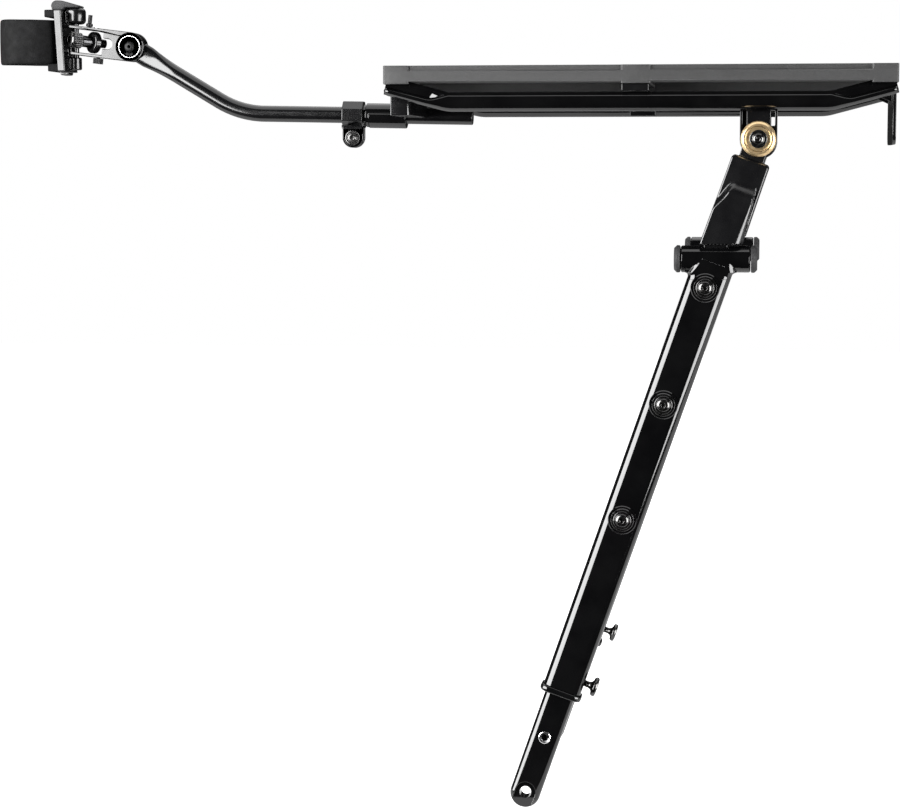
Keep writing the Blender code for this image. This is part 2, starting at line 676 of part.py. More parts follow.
def cradle(parent):
    """Saddle that bears on the seat post behind the strap, with an upper and a lower barrel."""
    loop = LOOP_X - SWIVEL_X
    half_width = 12.8 * MM
    back = -4.6 * MM
    lean = tan(CRADLE_LEAN)
    middle_z = sum(STRAP_Z) / 2

    def leaning(x, z):
        return (x - (z - middle_z) * -lean, z)

    low_z, high_z = 0.9 * MM, 34.6 * MM
    profile = [leaning(-17.5 * MM, high_z), leaning(-17.5 * MM, STRAP_Z[1] + 1.2 * MM),
               leaning(-9.0 * MM, STRAP_Z[1] + 1.2 * MM), leaning(-9.0 * MM, STRAP_Z[0] - 1.2 * MM),
               leaning(-17.5 * MM, STRAP_Z[0] - 1.2 * MM), leaning(-17.5 * MM, low_z),
               leaning(back, low_z), leaning(back, high_z)]
    body = to_object("cradle", extrude_y(profile, -half_width, half_width), "satin_black", parent)
    for low, high in BARREL_Z:
        union(body, rod((0.0, 0.0, low), (0.0, 0.0, high), SWIVEL_RADIUS, 18))
        neck = box((back - 2 * MM, -4.6 * MM, low + 0.4 * MM), (0.0, 4.6 * MM, high - 0.6 * MM))
        union(body, neck)
    boolean(body, rod((loop, 0.0, -5 * MM), (loop, 0.0, 45 * MM), LOOP_RADIUS + GAP, 40))
    boolean(body, rod((0.0, 0.0, -2 * MM), (0.0, 0.0, 33.4 * MM), SWIVEL_PIN_RADIUS + GAP, 14))
    foot = box((-8.2 * MM, -5 * MM, -1.3 * MM), (-2.7 * MM, 5 * MM, 2.0 * MM))
    return union(body, foot)


def strap(parent):
    """Rubber strap that goes round the seat post: one closed band."""
    inner = LOOP_RADIUS - STRAP_THICKNESS
    low, high = STRAP_Z
    profile = [(inner, low), (LOOP_RADIUS, low), (LOOP_RADIUS, high), (inner, high)]
    band = ring(profile, 40)
    band.transform(Matrix.Translation((LOOP_X - SWIVEL_X, 0.0, 0.0)))
    return to_object("strap", band, "rubber", parent)


def strap_tab(parent):
    """Grey plastic cap with a rounded nose on top of the cradle."""
    outline = [(-12.9 * MM, 36.4 * MM), (3.2 * MM, 36.4 * MM), (2.6 * MM, 37.4 * MM)]
    outline += [(-7.0 * MM, 40.1 * MM)]
    outline += arc((-9.6 * MM, 37.0 * MM), 3.2 * MM, pi / 2, pi, 5)
    return to_object("strap_tab", extrude_y(outline, -5.5 * MM, 5.5 * MM), "grey_plastic", parent)


# ---------------------------------------------------------------- legs

def leg_section(width, thickness, corner, steps=3):
    """Cross-section of a leg tube, width along X and thickness along Y."""
    return rounded_rectangle(width, thickness, corner, steps)


def leg_bar(sections):
    """Loft a leg piece down -Z from (distance, width, thickness, corner) rows."""
    loops = []
    for distance, width, thickness, corner in sections:
        outline = leg_section(width, thickness, corner)
        loops.append([Vector((x, y, -distance)) for x, y in outline])
    return loft(loops)


def barrel_bar(radius, half_length, sides=24):
    """A round bar along the barrel's level axis, in the leg's tilted frame."""
    shape = rod((-half_length, 0.0, 0.0), (half_length, 0.0, 0.0), radius, sides)
    shape.transform(Matrix.Rotation(-LEG_ANGLE, 4, "Y"))
    return shape


def level_box(low, high):
    """A box that is level in space, about the barrel's centre, in the leg's tilted frame."""
    shape = box(low, high)
    shape.transform(Matrix.Rotation(-LEG_ANGLE, 4, "Y"))
    return shape


def hanger(side, word):
    """Flanged plate under a rail for the leg pivot: two thin side strips and a middle block."""
    inner_y = side * 66.2 * MM
    web_y = side * 68.4 * MM
    block_y = side * 67.5 * MM
    rim_y = side * 71.2 * MM
    far_y = side * 80 * MM
    x, z = LEG_PIVOT.x, LEG_PIVOT.z
    radius = 9.6 * MM
    rim = 1.3 * MM
    block_half = 6.1 * MM
    hub_radius = 6.6 * MM
    top = RAIL_Z - 1.0 * MM
    window_low = z + 6.9 * MM
    window_high = RAIL_Z - RAIL_RADIUS - 0.5 * MM

    def plate_shape(half, upper, low_y, high_y):
        outline = arc((x, z), half, -pi, 0.0, 12) + [(x + half, upper), (x - half, upper)]
        return extrude_y(outline, min(low_y, high_y), max(low_y, high_y))

    plate = to_object("hanger_" + word, plate_shape(radius, top, inner_y, rim_y), "satin_black")
    boolean(plate, plate_shape(radius - rim, 0.0, web_y, far_y))
    block_low = (x - block_half, min(block_y, rim_y), z + 5.0 * MM)
    block_high = (x + block_half, max(block_y, rim_y), top)
    union(plate, box(block_low, block_high))
    union(plate, rod((x, block_y, z), (x, rim_y, z), hub_radius, 16))
    for sign in (-1, 1):
        near_x, far_x = sorted((x + sign * block_half, x + sign * (radius - rim)))
        window = box((near_x, min(0.0, far_y), window_low), (far_x, max(0.0, far_y), window_high))
        boolean(plate, window)
    boolean(plate, rail_solid(RAIL_RADIUS + GAP, side))
    return boolean(plate, rod((x, side * 60 * MM, z), (x, side * 90 * MM, z), PIVOT_BORE, 12))


def pivot_pieces(side, word):
    """Brass bush and bolt of a leg's top pivot; they stay with the rack."""
    out = (0.0, side, 0.0)
    x, z = LEG_PIVOT.x, LEG_PIVOT.z
    bush_seat = side * 79.7 * MM
    step = 3.3 * MM
    profile = [(PIVOT_BORE, 0.0), (9.1 * MM, 0.0), (9.1 * MM, 2.6 * MM), (7.6 * MM, 4.1 * MM),
               (6.4 * MM, 4.1 * MM), (6.2 * MM, step), (PIVOT_BORE, step)]
    to_object("pivot_bush_" + word, pointing(ring(profile, 22), out, (x, bush_seat, z)), "brass")
    seat = bush_seat + side * (step + GAP)
    socket_bolt("pivot_bolt_" + word, 4.7 * MM, 2.8 * MM, 2.6 * MM, 21.0 * MM, None,
                (x, seat, z), out, key_radius=2.0 * MM)


def upper_leg(side, word, parent):
    """Top link of a leg: eye and neck, flattened tab, then full section down to the barrel."""
    eye_low, eye_high = -LEG_THICKNESS / 2 + 2.6 * MM, 3.4 * MM
    face_low, face_high = sorted((side * eye_low, side * eye_high))
    middle = (face_low + face_high) / 2
    tab = face_high - face_low
    tab_corner = 2.6 * MM
    blend = 4 * MM
    rows = [(11.0 * MM, 15.0 * MM, tab, tab_corner), (11.8 * MM, 18.4 * MM, tab, tab_corner),
            (14.0 * MM, 19.8 * MM, tab, tab_corner),
            (SHOULDER_S - 1.5 * MM, 20.0 * MM, tab + 0.4 * MM, 3.0 * MM),
            (SHOULDER_S + blend, 20.2 * MM, LEG_THICKNESS - 1.0 * MM, LEG_CORNER),
            (BARREL_S, 20.9 * MM, LEG_THICKNESS, LEG_CORNER)]
    shape = leg_bar(rows)
    for vertex in shape.verts:
        share = min(max((-vertex.co.z - SHOULDER_S) / blend, 0.0), 1.0)
        vertex.co.y += middle * (1.0 - share)
    link = to_object("upper_leg_" + word, shape, "gloss_black", parent)
    union(link, box((-6.5 * MM, face_low, -12 * MM), (6.5 * MM, face_high, 0.0)))
    union(link, rod((0.0, face_low, 0.0), (0.0, face_high, 0.0), 8.2 * MM, 22))
    boolean(link, rod((0.0, -20 * MM, 0.0), (0.0, 20 * MM, 0.0), PIVOT_BORE, 12))
    clearance = BARREL_RADIUS + 0.5 * MM
    cutoff = level_box((-40 * MM, -20 * MM, -40 * MM), (40 * MM, 20 * MM, clearance))
    cutoff.transform(Matrix.Translation((0.0, 0.0, -BARREL_S)))
    boolean(link, cutoff)
    tongue = level_box((-6.0 * MM, -2.0 * MM, 0.0), (6.0 * MM, 2.0 * MM, clearance + MM))
    tongue.transform(Matrix.Translation((0.0, 0.0, -BARREL_S)))
    union(link, tongue)
    eye = barrel_bar(BARREL_BORE - GAP, 6.0 * MM, 14)
    eye.transform(Matrix.Translation((0.0, 0.0, -BARREL_S)))
    union(link, eye)
    pin_hole = barrel_bar(PIN_RADIUS + GAP, 10 * MM, 10)
    pin_hole.transform(Matrix.Translation((0.0, 0.0, -BARREL_S)))
    return boolean(link, pin_hole)


def outer_leg(side, word, parent):
    """Outer tube with the level barrel across its top; distances are from the barrel."""
    top = 2.0 * MM
    bottom = OUTER_END_S - BARREL_S
    taper = 0.6 * MM
    rows = [(top, LEG_WIDTH, LEG_THICKNESS, LEG_CORNER),
            (bottom, LEG_WIDTH - taper, LEG_THICKNESS, LEG_CORNER)]
    tube = to_object("outer_leg_" + word, leg_bar(rows), "gloss_black", parent)
    union(tube, barrel_bar(BARREL_RADIUS, BARREL_HALF_LENGTH, 20))
    inside = (LEG_WIDTH - 2 * LEG_WALL, LEG_THICKNESS - 2 * LEG_WALL, LEG_CORNER - LEG_WALL)
    boolean(tube, leg_bar([(10 * MM, *inside), (bottom + 3 * MM, *inside)]))
    boolean(tube, barrel_bar(BARREL_BORE, BARREL_HALF_LENGTH + 5 * MM, 16))
    boolean(tube, level_box((-6.8 * MM, -4.2 * MM, 0.0), (6.8 * MM, 4.2 * MM, 12 * MM)))
    face = side * LEG_THICKNESS / 2
    for distance in CAGE_BOLT_S:
        place = (0.0, face - side * 0.6 * MM, -(distance - BARREL_S))
        flange = turned([(7.1 * MM, 0.0), (7.1 * MM, 1.2 * MM)], 20)
        union(tube, pointing(flange, (0.0, side, 0.0), place))
        start = (0.0, face - side * 5 * MM, place[2])
        end = (0.0, face + side * 5 * MM, place[2])
        boolean(tube, rod(start, end, 2.5 * MM + GAP, 10))
    screw_z = -(THUMB_SCREW_S - BARREL_S)
    boolean(tube, rod((5 * MM, 0.0, screw_z), (15 * MM, 0.0, screw_z), 1.7 * MM + GAP, 14))
    return tube


def barrel_pieces(word, parent):
    """Pin inside the barrel and the two plastic end caps."""
    pin_half = BARREL_HALF_LENGTH - 1.0 * MM
    to_object("splay_pin_" + word, barrel_bar(PIN_RADIUS, pin_half, 14), "black_oxide", parent)
    for sign, end in ((-1, "front"), (1, "rear")):
        radius = BARREL_RADIUS + 0.1 * MM
        profile = [(radius, 0.0), (radius, CAP_THICKNESS * 0.55), (radius - 1.3 * MM, CAP_THICKNESS)]
        place = (sign * (BARREL_HALF_LENGTH + GAP), 0.0, 0.0)
        cap = pointing(turned(profile, 18), (sign, 0.0, 0.0), place)
        cap.transform(Matrix.Rotation(-LEG_ANGLE, 4, "Y"))
        to_object("barrel_cap_" + end + "_" + word, cap, "grey_plastic", parent)


def leg_fittings(side, word, parent):
    """Cage bolts with washers, and the band at the outer tube's lower end."""
    face = LEG_THICKNESS / 2 + 0.6 * MM
    out = (0.0, side, 0.0)
    for number, distance in enumerate(CAGE_BOLT_S, 1):
        z = -(distance - BARREL_S)
        name = "_%s_%d" % (word, number)
        seat = side * (face + GAP)
        washer("cage_washer" + name, 5.6 * MM, 2.8 * MM, 0.9 * MM, "black_oxide", parent,
               (0.0, seat, z), out)
        bolt_seat = seat + side * (0.9 * MM + GAP)
        socket_bolt("cage_bolt" + name, 4.4 * MM, 2.4 * MM, 2.5 * MM, 6.5 * MM, parent,
                    (0.0, bolt_seat, z), out, key_radius=1.9 * MM)
    grow = 1.5 * MM
    low, high = BAND_S[0] - BARREL_S, BAND_S[1] - BARREL_S
    size = (LEG_WIDTH + grow, LEG_THICKNESS + grow, LEG_CORNER)
    band = to_object("leg_band_" + word, leg_bar([(low, *size), (high, *size)]), "gloss_black", parent)
    margin = 2 * MM
    hole = (INNER_WIDTH + 2 * GAP, INNER_THICKNESS + 2 * GAP, INNER_CORNER + GAP)
    boolean(band, leg_bar([(low - margin, *hole), (high + margin, *hole)]))


def thumb_screw(word, parent):
    """Hand screw on the rear face of the outer tube that locks the inner leg; origin on its axis."""
    tip = INNER_WIDTH / 2 + GAP
    profile = [(1.7 * MM, tip), (1.7 * MM, 14.2 * MM), (3.0 * MM, 15.0 * MM), (4.9 * MM, 15.3 * MM),
               (4.9 * MM, 16.9 * MM), (4.3 * MM, 17.4 * MM)]
    screw = pointing(turned(profile, 14), (1.0, 0.0, 0.0))
    return to_object("thumb_screw_" + word, screw, "black_oxide", parent)


def inner_leg(side, word, parent):
    """Inner bar with a round end, a through eyelet, a spot face outside and a seat inside."""
    end_s = EYELET_S
    size = (INNER_WIDTH, INNER_THICKNESS, INNER_CORNER)
    shape = leg_bar([(INNER_TOP_S, *size), (end_s, *size)])
    bar = to_object("inner_leg_" + word, shape, "gloss_black", parent)
    half = INNER_THICKNESS / 2
    union(bar, rod((0.0, -half, -end_s), (0.0, half, -end_s), INNER_WIDTH / 2, 24))
    seat_radius, seat_height = FOOT_SEAT
    seat_face = (0.0, -side * (half + seat_height), -end_s)
    union(bar, rod((0.0, 0.0, -end_s), seat_face, seat_radius, 24))
    spot_radius = 5.5 * MM
    below = -end_s - 12 * MM
    spot = arc((0.0, -end_s), spot_radius, 0.0, pi, 8) + [(-spot_radius, below), (spot_radius, below)]
    low_y, high_y = sorted((side * (half - 1.6 * MM), side * (half + 2 * MM)))
    boolean(bar, extrude_y(spot, low_y, high_y))
    boolean(bar, rod((0.0, -10 * MM, -end_s), (0.0, 10 * MM, -end_s), EYELET_RADIUS, 16))
    nut_z = -RIVET_NUT_S
    seat_start = (0.0, side * (half - 3.5 * MM), nut_z)
    seat_end = (0.0, side * (half + MM), nut_z)
    return boolean(bar, rod(seat_start, seat_end, 2.5 * MM, 12))


def rivet_nut(side, word, parent):
    """Threaded insert in the inner leg's outer face."""
    half = INNER_THICKNESS / 2
    base = half - 3.2 * MM
    flange_low, flange_high = 3.5 * MM, 4.0 * MM
    profile = [(1.6 * MM, 0.0), (2.2 * MM, 0.0), (2.2 * MM, flange_low), (3.1 * MM, flange_low),
               (3.1 * MM, flange_high), (1.6 * MM, flange_high)]
    insert = pointing(ring(profile, 14), (0.0, side, 0.0), (0.0, side * base, -RIVET_NUT_S))
    return to_object("rivet_nut_" + word, insert, "steel", parent)


def leg(side, word):
    """One complete leg with its own chain of joint axes."""
    top = (LEG_PIVOT.x, side * LEG_Y, LEG_PIVOT.z)
    pivot = axis_empty("leg_pivot_axis_" + word, top, None, LEG_ANGLE)
    barrel = axis_empty("leg_splay_axis_" + word, (0.0, 0.0, -BARREL_S), pivot)
    slide = axis_empty("leg_slide_axis_" + word, (0.0, 0.0, BARREL_S), barrel)
    screw_place = (0.0, 0.0, BARREL_S - THUMB_SCREW_S)
    screw = axis_empty("thumb_screw_axis_" + word, screw_place, barrel)
    hanger(side, word)
    pivot_pieces(side, word)
    upper_leg(side, word, pivot)
    outer_leg(side, word, barrel)
    barrel_pieces(word, barrel)
    leg_fittings(side, word, barrel)
    thumb_screw(word, screw)
    inner_leg(side, word, slide)
    rivet_nut(side, word, slide)


def head():
    """The arm, the yoke and the strap clamp, each on its joint's axis."""
    arm_axis = axis_empty("arm_axis", HEAD_PIVOT)
    yoke_axis = axis_empty("yoke_axis", (0.0, 0.0, 0.0), arm_axis, YOKE_TILT)
    swivel_axis = axis_empty("swivel_axis", (SWIVEL_X, 0.0, 0.0))
    arm(arm_axis)
    yoke(yoke_axis)
    head_pivot_pieces(yoke_axis)
    tension_pieces(yoke_axis)
    bar_screws(yoke_axis)
    swivel_pin(swivel_axis)
    cradle(swivel_axis)
    strap(swivel_axis)
    strap_tab(swivel_axis)


def main():
    clear_scene()
    deck_platform()
    side_rails()
    front_crossbar()
    middle_bracket()
    light_bracket()
    sleeve()
    collar()
    head()
    for side, word in SIDES.items():
        leg(side, word)


main()
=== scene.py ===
"""Looks of the rear bicycle rack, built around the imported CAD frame.

Every piece repeats the CAD's own dimensions with finer meshes, rounded edges and the small
surface features, and rides on the CAD body that it belongs to. Lengths are in metres in the
same frame as the CAD: +X is the rear, +Z is up, and the origin is the centre of the deck's top.
"""
from math import cos, pi, radians, sin, sqrt, tan

import bmesh
import bpy
from mathutils import Matrix, Vector

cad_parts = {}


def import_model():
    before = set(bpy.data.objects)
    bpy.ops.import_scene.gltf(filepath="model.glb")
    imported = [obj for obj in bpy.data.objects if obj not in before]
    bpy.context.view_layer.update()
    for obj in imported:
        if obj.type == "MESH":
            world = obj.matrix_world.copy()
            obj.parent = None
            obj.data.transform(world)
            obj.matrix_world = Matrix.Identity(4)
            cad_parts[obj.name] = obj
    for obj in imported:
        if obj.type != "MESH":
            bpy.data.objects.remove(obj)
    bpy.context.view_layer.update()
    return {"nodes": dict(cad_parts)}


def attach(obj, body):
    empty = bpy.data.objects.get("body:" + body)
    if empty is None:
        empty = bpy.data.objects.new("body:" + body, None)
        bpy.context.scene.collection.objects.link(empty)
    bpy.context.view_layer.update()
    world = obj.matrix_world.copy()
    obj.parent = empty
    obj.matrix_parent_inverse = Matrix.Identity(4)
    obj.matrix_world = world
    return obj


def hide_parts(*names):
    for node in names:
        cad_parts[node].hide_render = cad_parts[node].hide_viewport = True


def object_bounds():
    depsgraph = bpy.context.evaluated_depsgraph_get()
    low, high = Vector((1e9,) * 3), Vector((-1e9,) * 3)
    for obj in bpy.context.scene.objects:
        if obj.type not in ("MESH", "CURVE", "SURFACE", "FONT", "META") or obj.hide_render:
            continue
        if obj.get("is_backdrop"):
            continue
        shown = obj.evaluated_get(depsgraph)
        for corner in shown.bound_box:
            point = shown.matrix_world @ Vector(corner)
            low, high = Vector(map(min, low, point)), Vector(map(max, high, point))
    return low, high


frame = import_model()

MM = 0.001
GAP = 0.3 * MM
LEFT, RIGHT = -1, 1
SIDES = {LEFT: "left", RIGHT: "right"}
ACROSS = Vector((0.0, 1.0, 0.0))

# Deck
DECK_HALF_LENGTH = 132.2 * MM
DECK_HALF_WIDTH = 79.0 * MM
DECK_STRIP_DEPTH = 8.2 * MM
DECK_BLOCK_DEPTH = 9.6 * MM
END_BLOCK_LENGTH = 13.4 * MM
MIDDLE_BLOCK = (-8.5 * MM, 6.7 * MM)
EDGE_STEP_DEPTH = 2.9 * MM
EDGE_STEP_INSET = 1.5 * MM
CHANNEL_HALF_WIDTH = 18.0 * MM
DECK_SKIN = 3.5 * MM

# Side rails
RAIL_RADIUS = 5.1 * MM
RAIL_Y = 72.8 * MM
RAIL_Z = -18.65 * MM
RAIL_BEND_X = 98.6 * MM
RAIL_RISE = radians(14.75)
RAIL_BEND_RADIUS = 22.0 * MM
RAIL_END_X = 131.4 * MM

# Arm, sleeve, collar and crossbar
ARM_RADIUS = 4.45 * MM
ARM_FALL = radians(1.0)
ARM_RISE = radians(30.8)
ARM_BEND = Vector((-225.2, 0.0, -22.7)) * MM
ARM_BEND_RADIUS = 52.0 * MM
ARM_TAIL_X = -94.7 * MM
HEAD_PIVOT = Vector((-286.9, 0.0, 14.2)) * MM
EYE_RADIUS = 7.4 * MM
TAB_HALF_THICKNESS = 2.5 * MM
SLEEVE_RADIUS = 6.6 * MM
SLEEVE_BORE = ARM_RADIUS + GAP
SLEEVE_X = (-153.8 * MM, -131.6 * MM)
STUB_RADIUS = 5.6 * MM
COLLAR_X = (-166.9 * MM, -155.4 * MM)
COLLAR_RADIUS = 7.5 * MM
COLLAR_BOLT = Vector((-160.9, 0.0, -36.3)) * MM
LUG_FACES = (1.2 * MM, 4.4 * MM)
CROSSBAR_X = (-130.2 * MM, -119.8 * MM)
CROSSBAR_Z = (-25.6 * MM, -12.6 * MM)

# Yoke and strap clamp
YOKE_TILT = radians(7.0)
YOKE_HALF_HEIGHT = 8.1 * MM
YOKE_HALF_WIDTH = 5.6 * MM
YOKE_FRONT = {1: -36.0 * MM, -1: -33.4 * MM}
YOKE_BAR_INNER = 6.4 * MM
YOKE_WINDOW_REAR = -15.4 * MM
YOKE_SLOT_HALF = 2.9 * MM
YOKE_SEAT_DEPTH = 1.2 * MM
PIVOT_BORE = 3.0 * MM
SWIVEL_X = -318.9 * MM
BARREL_Z = [(1.7 * MM, 8.6 * MM), (27.1 * MM, 36.0 * MM)]
SWIVEL_RADIUS = 5.6 * MM
SWIVEL_PIN_RADIUS = 1.6 * MM
TENSION_YAW = radians(45.0)
TENSION_ALONG = Vector((cos(TENSION_YAW), sin(TENSION_YAW), 0.0))
TENSION_NUT_FRONT = Vector((-23.2, -2.2, 0.0)) * MM
TENSION_NUT_THICKNESS = 4.2 * MM
TENSION_NECK_LENGTH = 6.7 * MM
TENSION_HEAD_LENGTH = 7.0 * MM
TENSION_HEAD_RADIUS = 4.3 * MM
TENSION_HEAD_SEAT = TENSION_NUT_FRONT - TENSION_ALONG * TENSION_NECK_LENGTH
SWIVEL_LIMIT = radians(5.0)
LOOP_X = -346.2 * MM
LOOP_RADIUS = 16.1 * MM
STRAP_THICKNESS = 2.2 * MM
STRAP_REACH = 3.0 * MM
STRAP_Z = (4.6 * MM, 29.3 * MM)

# Legs: distances run down each leg from its top pivot
LEG_PIVOT = Vector((61.9, 0.0, -38.2)) * MM
LEG_ANGLE = radians(19.0)
LEG_Y = 76.0 * MM
LEG_WIDTH = 21.0 * MM
LEG_THICKNESS = 14.0 * MM
LEG_CORNER = 4.8 * MM
LEG_WALL = 2.0 * MM
BARREL_S = 64.9 * MM
BARREL_RADIUS = 6.9 * MM
BARREL_HALF_LENGTH = 17.8 * MM
BARREL_BORE = 4.7 * MM
PIN_RADIUS = 2.2 * MM
CAP_THICKNESS = 3.2 * MM
CAGE_BOLT_S = [(80.4 + 64.0 * turn) * MM for turn in range(3)]
OUTER_END_S = 304.7 * MM
BAND_S = (305.0 * MM, 308.3 * MM)
SHOULDER_S = 23.3 * MM
THUMB_SCREW_S = 298.3 * MM
INNER_WIDTH = 16.1 * MM
INNER_THICKNESS = 9.0 * MM
INNER_CORNER = 3.8 * MM
INNER_TOP_S = 232.0 * MM
RIVET_NUT_S = 332.3 * MM
EYELET_S = 364.0 * MM
EYELET_RADIUS = 3.0 * MM


# ---------------------------------------------------------------- materials

def noise_at(tree, scale, detail=3.0, rough=0.55):
    """A noise texture in the piece's own space; scale is in features per metre."""
    coords = tree.nodes.get("coords") or tree.nodes.new("ShaderNodeTexCoord")
    coords.name = "coords"
    texture = tree.nodes.new("ShaderNodeTexNoise")
    texture.inputs["Scale"].default_value = scale
    texture.inputs["Detail"].default_value = detail
    texture.inputs["Roughness"].default_value = rough
    tree.links.new(coords.outputs["Object"], texture.inputs["Vector"])
    return texture.outputs["Fac"]


def remapped(tree, value, low, high, source=(0.3, 0.7)):
    """A value stretched from one range to another."""
    node = tree.nodes.new("ShaderNodeMapRange")
    node.inputs["From Min"].default_value = source[0]
    node.inputs["From Max"].default_value = source[1]
    node.inputs["To Min"].default_value = low
    node.inputs["To Max"].default_value = high
    tree.links.new(value, node.inputs["Value"])
    return node.outputs["Result"]


def two_tone(tree, value, dark, light):
    """A colour that runs from dark to light with a value."""
    ramp = tree.nodes.new("ShaderNodeValToRGB")
    ramp.color_ramp.elements[0].position = 0.35
    ramp.color_ramp.elements[0].color = (*dark, 1.0)
    ramp.color_ramp.elements[1].position = 0.65
    ramp.color_ramp.elements[1].color = (*light, 1.0)
    tree.links.new(value, ramp.inputs["Fac"])
    return ramp.outputs["Color"]


def bumped(tree, heights):
    """Stacked bumps from (height, depth) pairs; depth is in metres."""
    normal = None
    for height, depth in heights:
        bump = tree.nodes.new("ShaderNodeBump")
        bump.inputs["Strength"].default_value = 1.0
        bump.inputs["Distance"].default_value = depth
        tree.links.new(height, bump.inputs["Height"])
        if normal:
            tree.links.new(normal, bump.inputs["Normal"])
        normal = bump.outputs["Normal"]
    return normal


def finish(name, dark, light, rough, mottle=60.0, rough_scale=140.0, bumps=(), metallic=0.0,
           coat=0.0, coat_roughness=0.05):
    """A material with colour and roughness that vary by noise, and fine relief."""
    made = bpy.data.materials.new("look_" + name)
    made.use_nodes = True
    tree = made.node_tree
    shader = tree.nodes["Principled BSDF"]
    shader.inputs["Metallic"].default_value = metallic
    shader.inputs["Coat Weight"].default_value = coat
    shader.inputs["Coat Roughness"].default_value = coat_roughness
    color = two_tone(tree, noise_at(tree, mottle), dark, light)
    tree.links.new(color, shader.inputs["Base Color"])
    roughness = remapped(tree, noise_at(tree, rough_scale), *rough)
    tree.links.new(roughness, shader.inputs["Roughness"])
    heights = [(noise_at(tree, scale, detail), depth) for scale, detail, depth in bumps]
    if heights:
        tree.links.new(bumped(tree, heights), shader.inputs["Normal"])
    return made


def gloss_black():
    """Black powder coat under a clear lacquer, with a faint orange peel."""
    return finish("gloss_black", (0.0009, 0.0009, 0.0010), (0.0016, 0.0016, 0.0017), (0.055, 0.085),
                  bumps=[(420.0, 1.5, 0.006 * MM)])


def satin_black():
    """Hard black anodising, a little softer than the lacquer."""
    return finish("satin_black", (0.0016, 0.0016, 0.0018), (0.0030, 0.0030, 0.0032), (0.13, 0.19),
                  bumps=[(900.0, 2.0, 0.004 * MM)])


def forged_black():
    """Forged link: lacquered, over a surface that keeps a slight waviness."""
    return finish("forged_black", (0.0016, 0.0016, 0.0018), (0.0028, 0.0028, 0.0030), (0.17, 0.23),
                  bumps=[(260.0, 2.0, 0.015 * MM), (1200.0, 2.0, 0.004 * MM)])


def phosphate():
    """Dull phosphated screws of the clamp's head."""
    made = finish("phosphate", (0.0040, 0.0040, 0.0042), (0.0075, 0.0075, 0.0077), (0.26, 0.36),
                  rough_scale=800.0, bumps=[(1500.0, 2.0, 0.004 * MM)])
    made.node_tree.nodes["Principled BSDF"].inputs["Specular IOR Level"].default_value = 0.10
    return made


def black_oxide():
    """Blackened steel of the screws, oily and reflecting."""
    return finish("black_oxide", (0.050, 0.050, 0.052), (0.085, 0.084, 0.082), (0.14, 0.26),
                  rough_scale=700.0, bumps=[(1600.0, 2.0, 0.004 * MM)], metallic=1.0)


def deck_plastic():
    """Moulded plastic with a spark-eroded grain, and painted shade that darkens everything above the edge
    step.
    """
    made = finish("deck_plastic", (0.0034, 0.0034, 0.0035), (0.0062, 0.0062, 0.0064), (0.52, 0.66),
                  mottle=1400.0, bumps=[(1900.0, 3.0, 0.055 * MM), (150.0, 2.0, 0.05 * MM)])
    tree = made.node_tree
    shader = tree.nodes["Principled BSDF"]
    color = shader.inputs["Base Color"].links[0].from_socket
    split = tree.nodes.new("ShaderNodeSeparateXYZ")
    tree.links.new(tree.nodes["coords"].outputs["Object"], split.inputs["Vector"])
    # Painted shade: above the edge step (the recessed top strip and the top face) the colour drops to 0.62.
    edge = remapped(tree, split.outputs["Z"], 1.0, 0.62, (-EDGE_STEP_DEPTH - 0.2 * MM, -EDGE_STEP_DEPTH))
    shade = tree.nodes.new("ShaderNodeVectorMath")
    shade.operation = "SCALE"
    tree.links.new(color, shade.inputs[0])
    tree.links.new(edge, shade.inputs["Scale"])
    tree.links.new(shade.outputs["Vector"], shader.inputs["Base Color"])
    return made


def grey_plastic():
    """Lighter moulded plastic of the end caps and the strap's tab."""
    made = finish("grey_plastic", (0.0150, 0.0150, 0.0155), (0.0230, 0.0230, 0.0236), (0.46, 0.58),
                  mottle=900.0, bumps=[(1500.0, 3.0, 0.035 * MM)])
    made.node_tree.nodes["Principled BSDF"].inputs["Specular IOR Level"].default_value = 0.12
    return made


def rubber():
    """Matt rubber with a cloudy bloom and a fine fabric-like grain."""
    made = finish("rubber", (0.0028, 0.0028, 0.0029), (0.0048, 0.0048, 0.0050), (0.62, 0.80),
                  mottle=330.0, bumps=[(2100.0, 2.0, 0.05 * MM), (240.0, 3.0, 0.08 * MM)])
    made.node_tree.nodes["Principled BSDF"].inputs["Specular IOR Level"].default_value = 0.05
    return made


def brass():
    """Turned brass: fine rings round the bush's axis over a warm, slightly uneven tone."""
    made = finish("brass", (0.66, 0.48, 0.26), (0.72, 0.54, 0.31), (0.28, 0.34), mottle=120.0,
                  rough_scale=500.0, metallic=1.0)
    tree = made.node_tree
    rings = tree.nodes.new("ShaderNodeTexWave")
    rings.wave_type = "RINGS"
    rings.rings_direction = "Y"
    rings.inputs["Scale"].default_value = 1100.0
    rings.inputs["Distortion"].default_value = 0.6
    tree.links.new(tree.nodes["coords"].outputs["Object"], rings.inputs["Vector"])
    normal = bumped(tree, [(rings.outputs["Fac"], 0.0012 * MM)])
    tree.links.new(normal, tree.nodes["Principled BSDF"].inputs["Normal"])
    return made


def steel():
    """Bright zinc-plated steel."""
    return finish("steel", (0.46, 0.46, 0.47), (0.60, 0.60, 0.60), (0.14, 0.28), mottle=300.0,
                  rough_scale=900.0, bumps=[(1300.0, 2.0, 0.004 * MM)], metallic=1.0)


FINISHES = {
    "gloss_black": gloss_black(), "satin_black": satin_black(), "black_oxide": black_oxide(),
    "deck_plastic": deck_plastic(), "grey_plastic": grey_plastic(), "rubber": rubber(),
    "brass": brass(), "steel": steel(), "forged_black": forged_black(), "phosphate": phosphate(),
}


def dress_cad_nodes():
    """Give every CAD node that stays in view the finish that its own material names."""
    for node in frame["nodes"].values():
        for place in node.material_slots:
            name = place.material.name.split(".")[0]
            place.material = FINISHES.get(name, FINISHES["satin_black"])


# ---------------------------------------------------------------- camera, light and floor

WATTS_PER_RADIANCE = 4.0


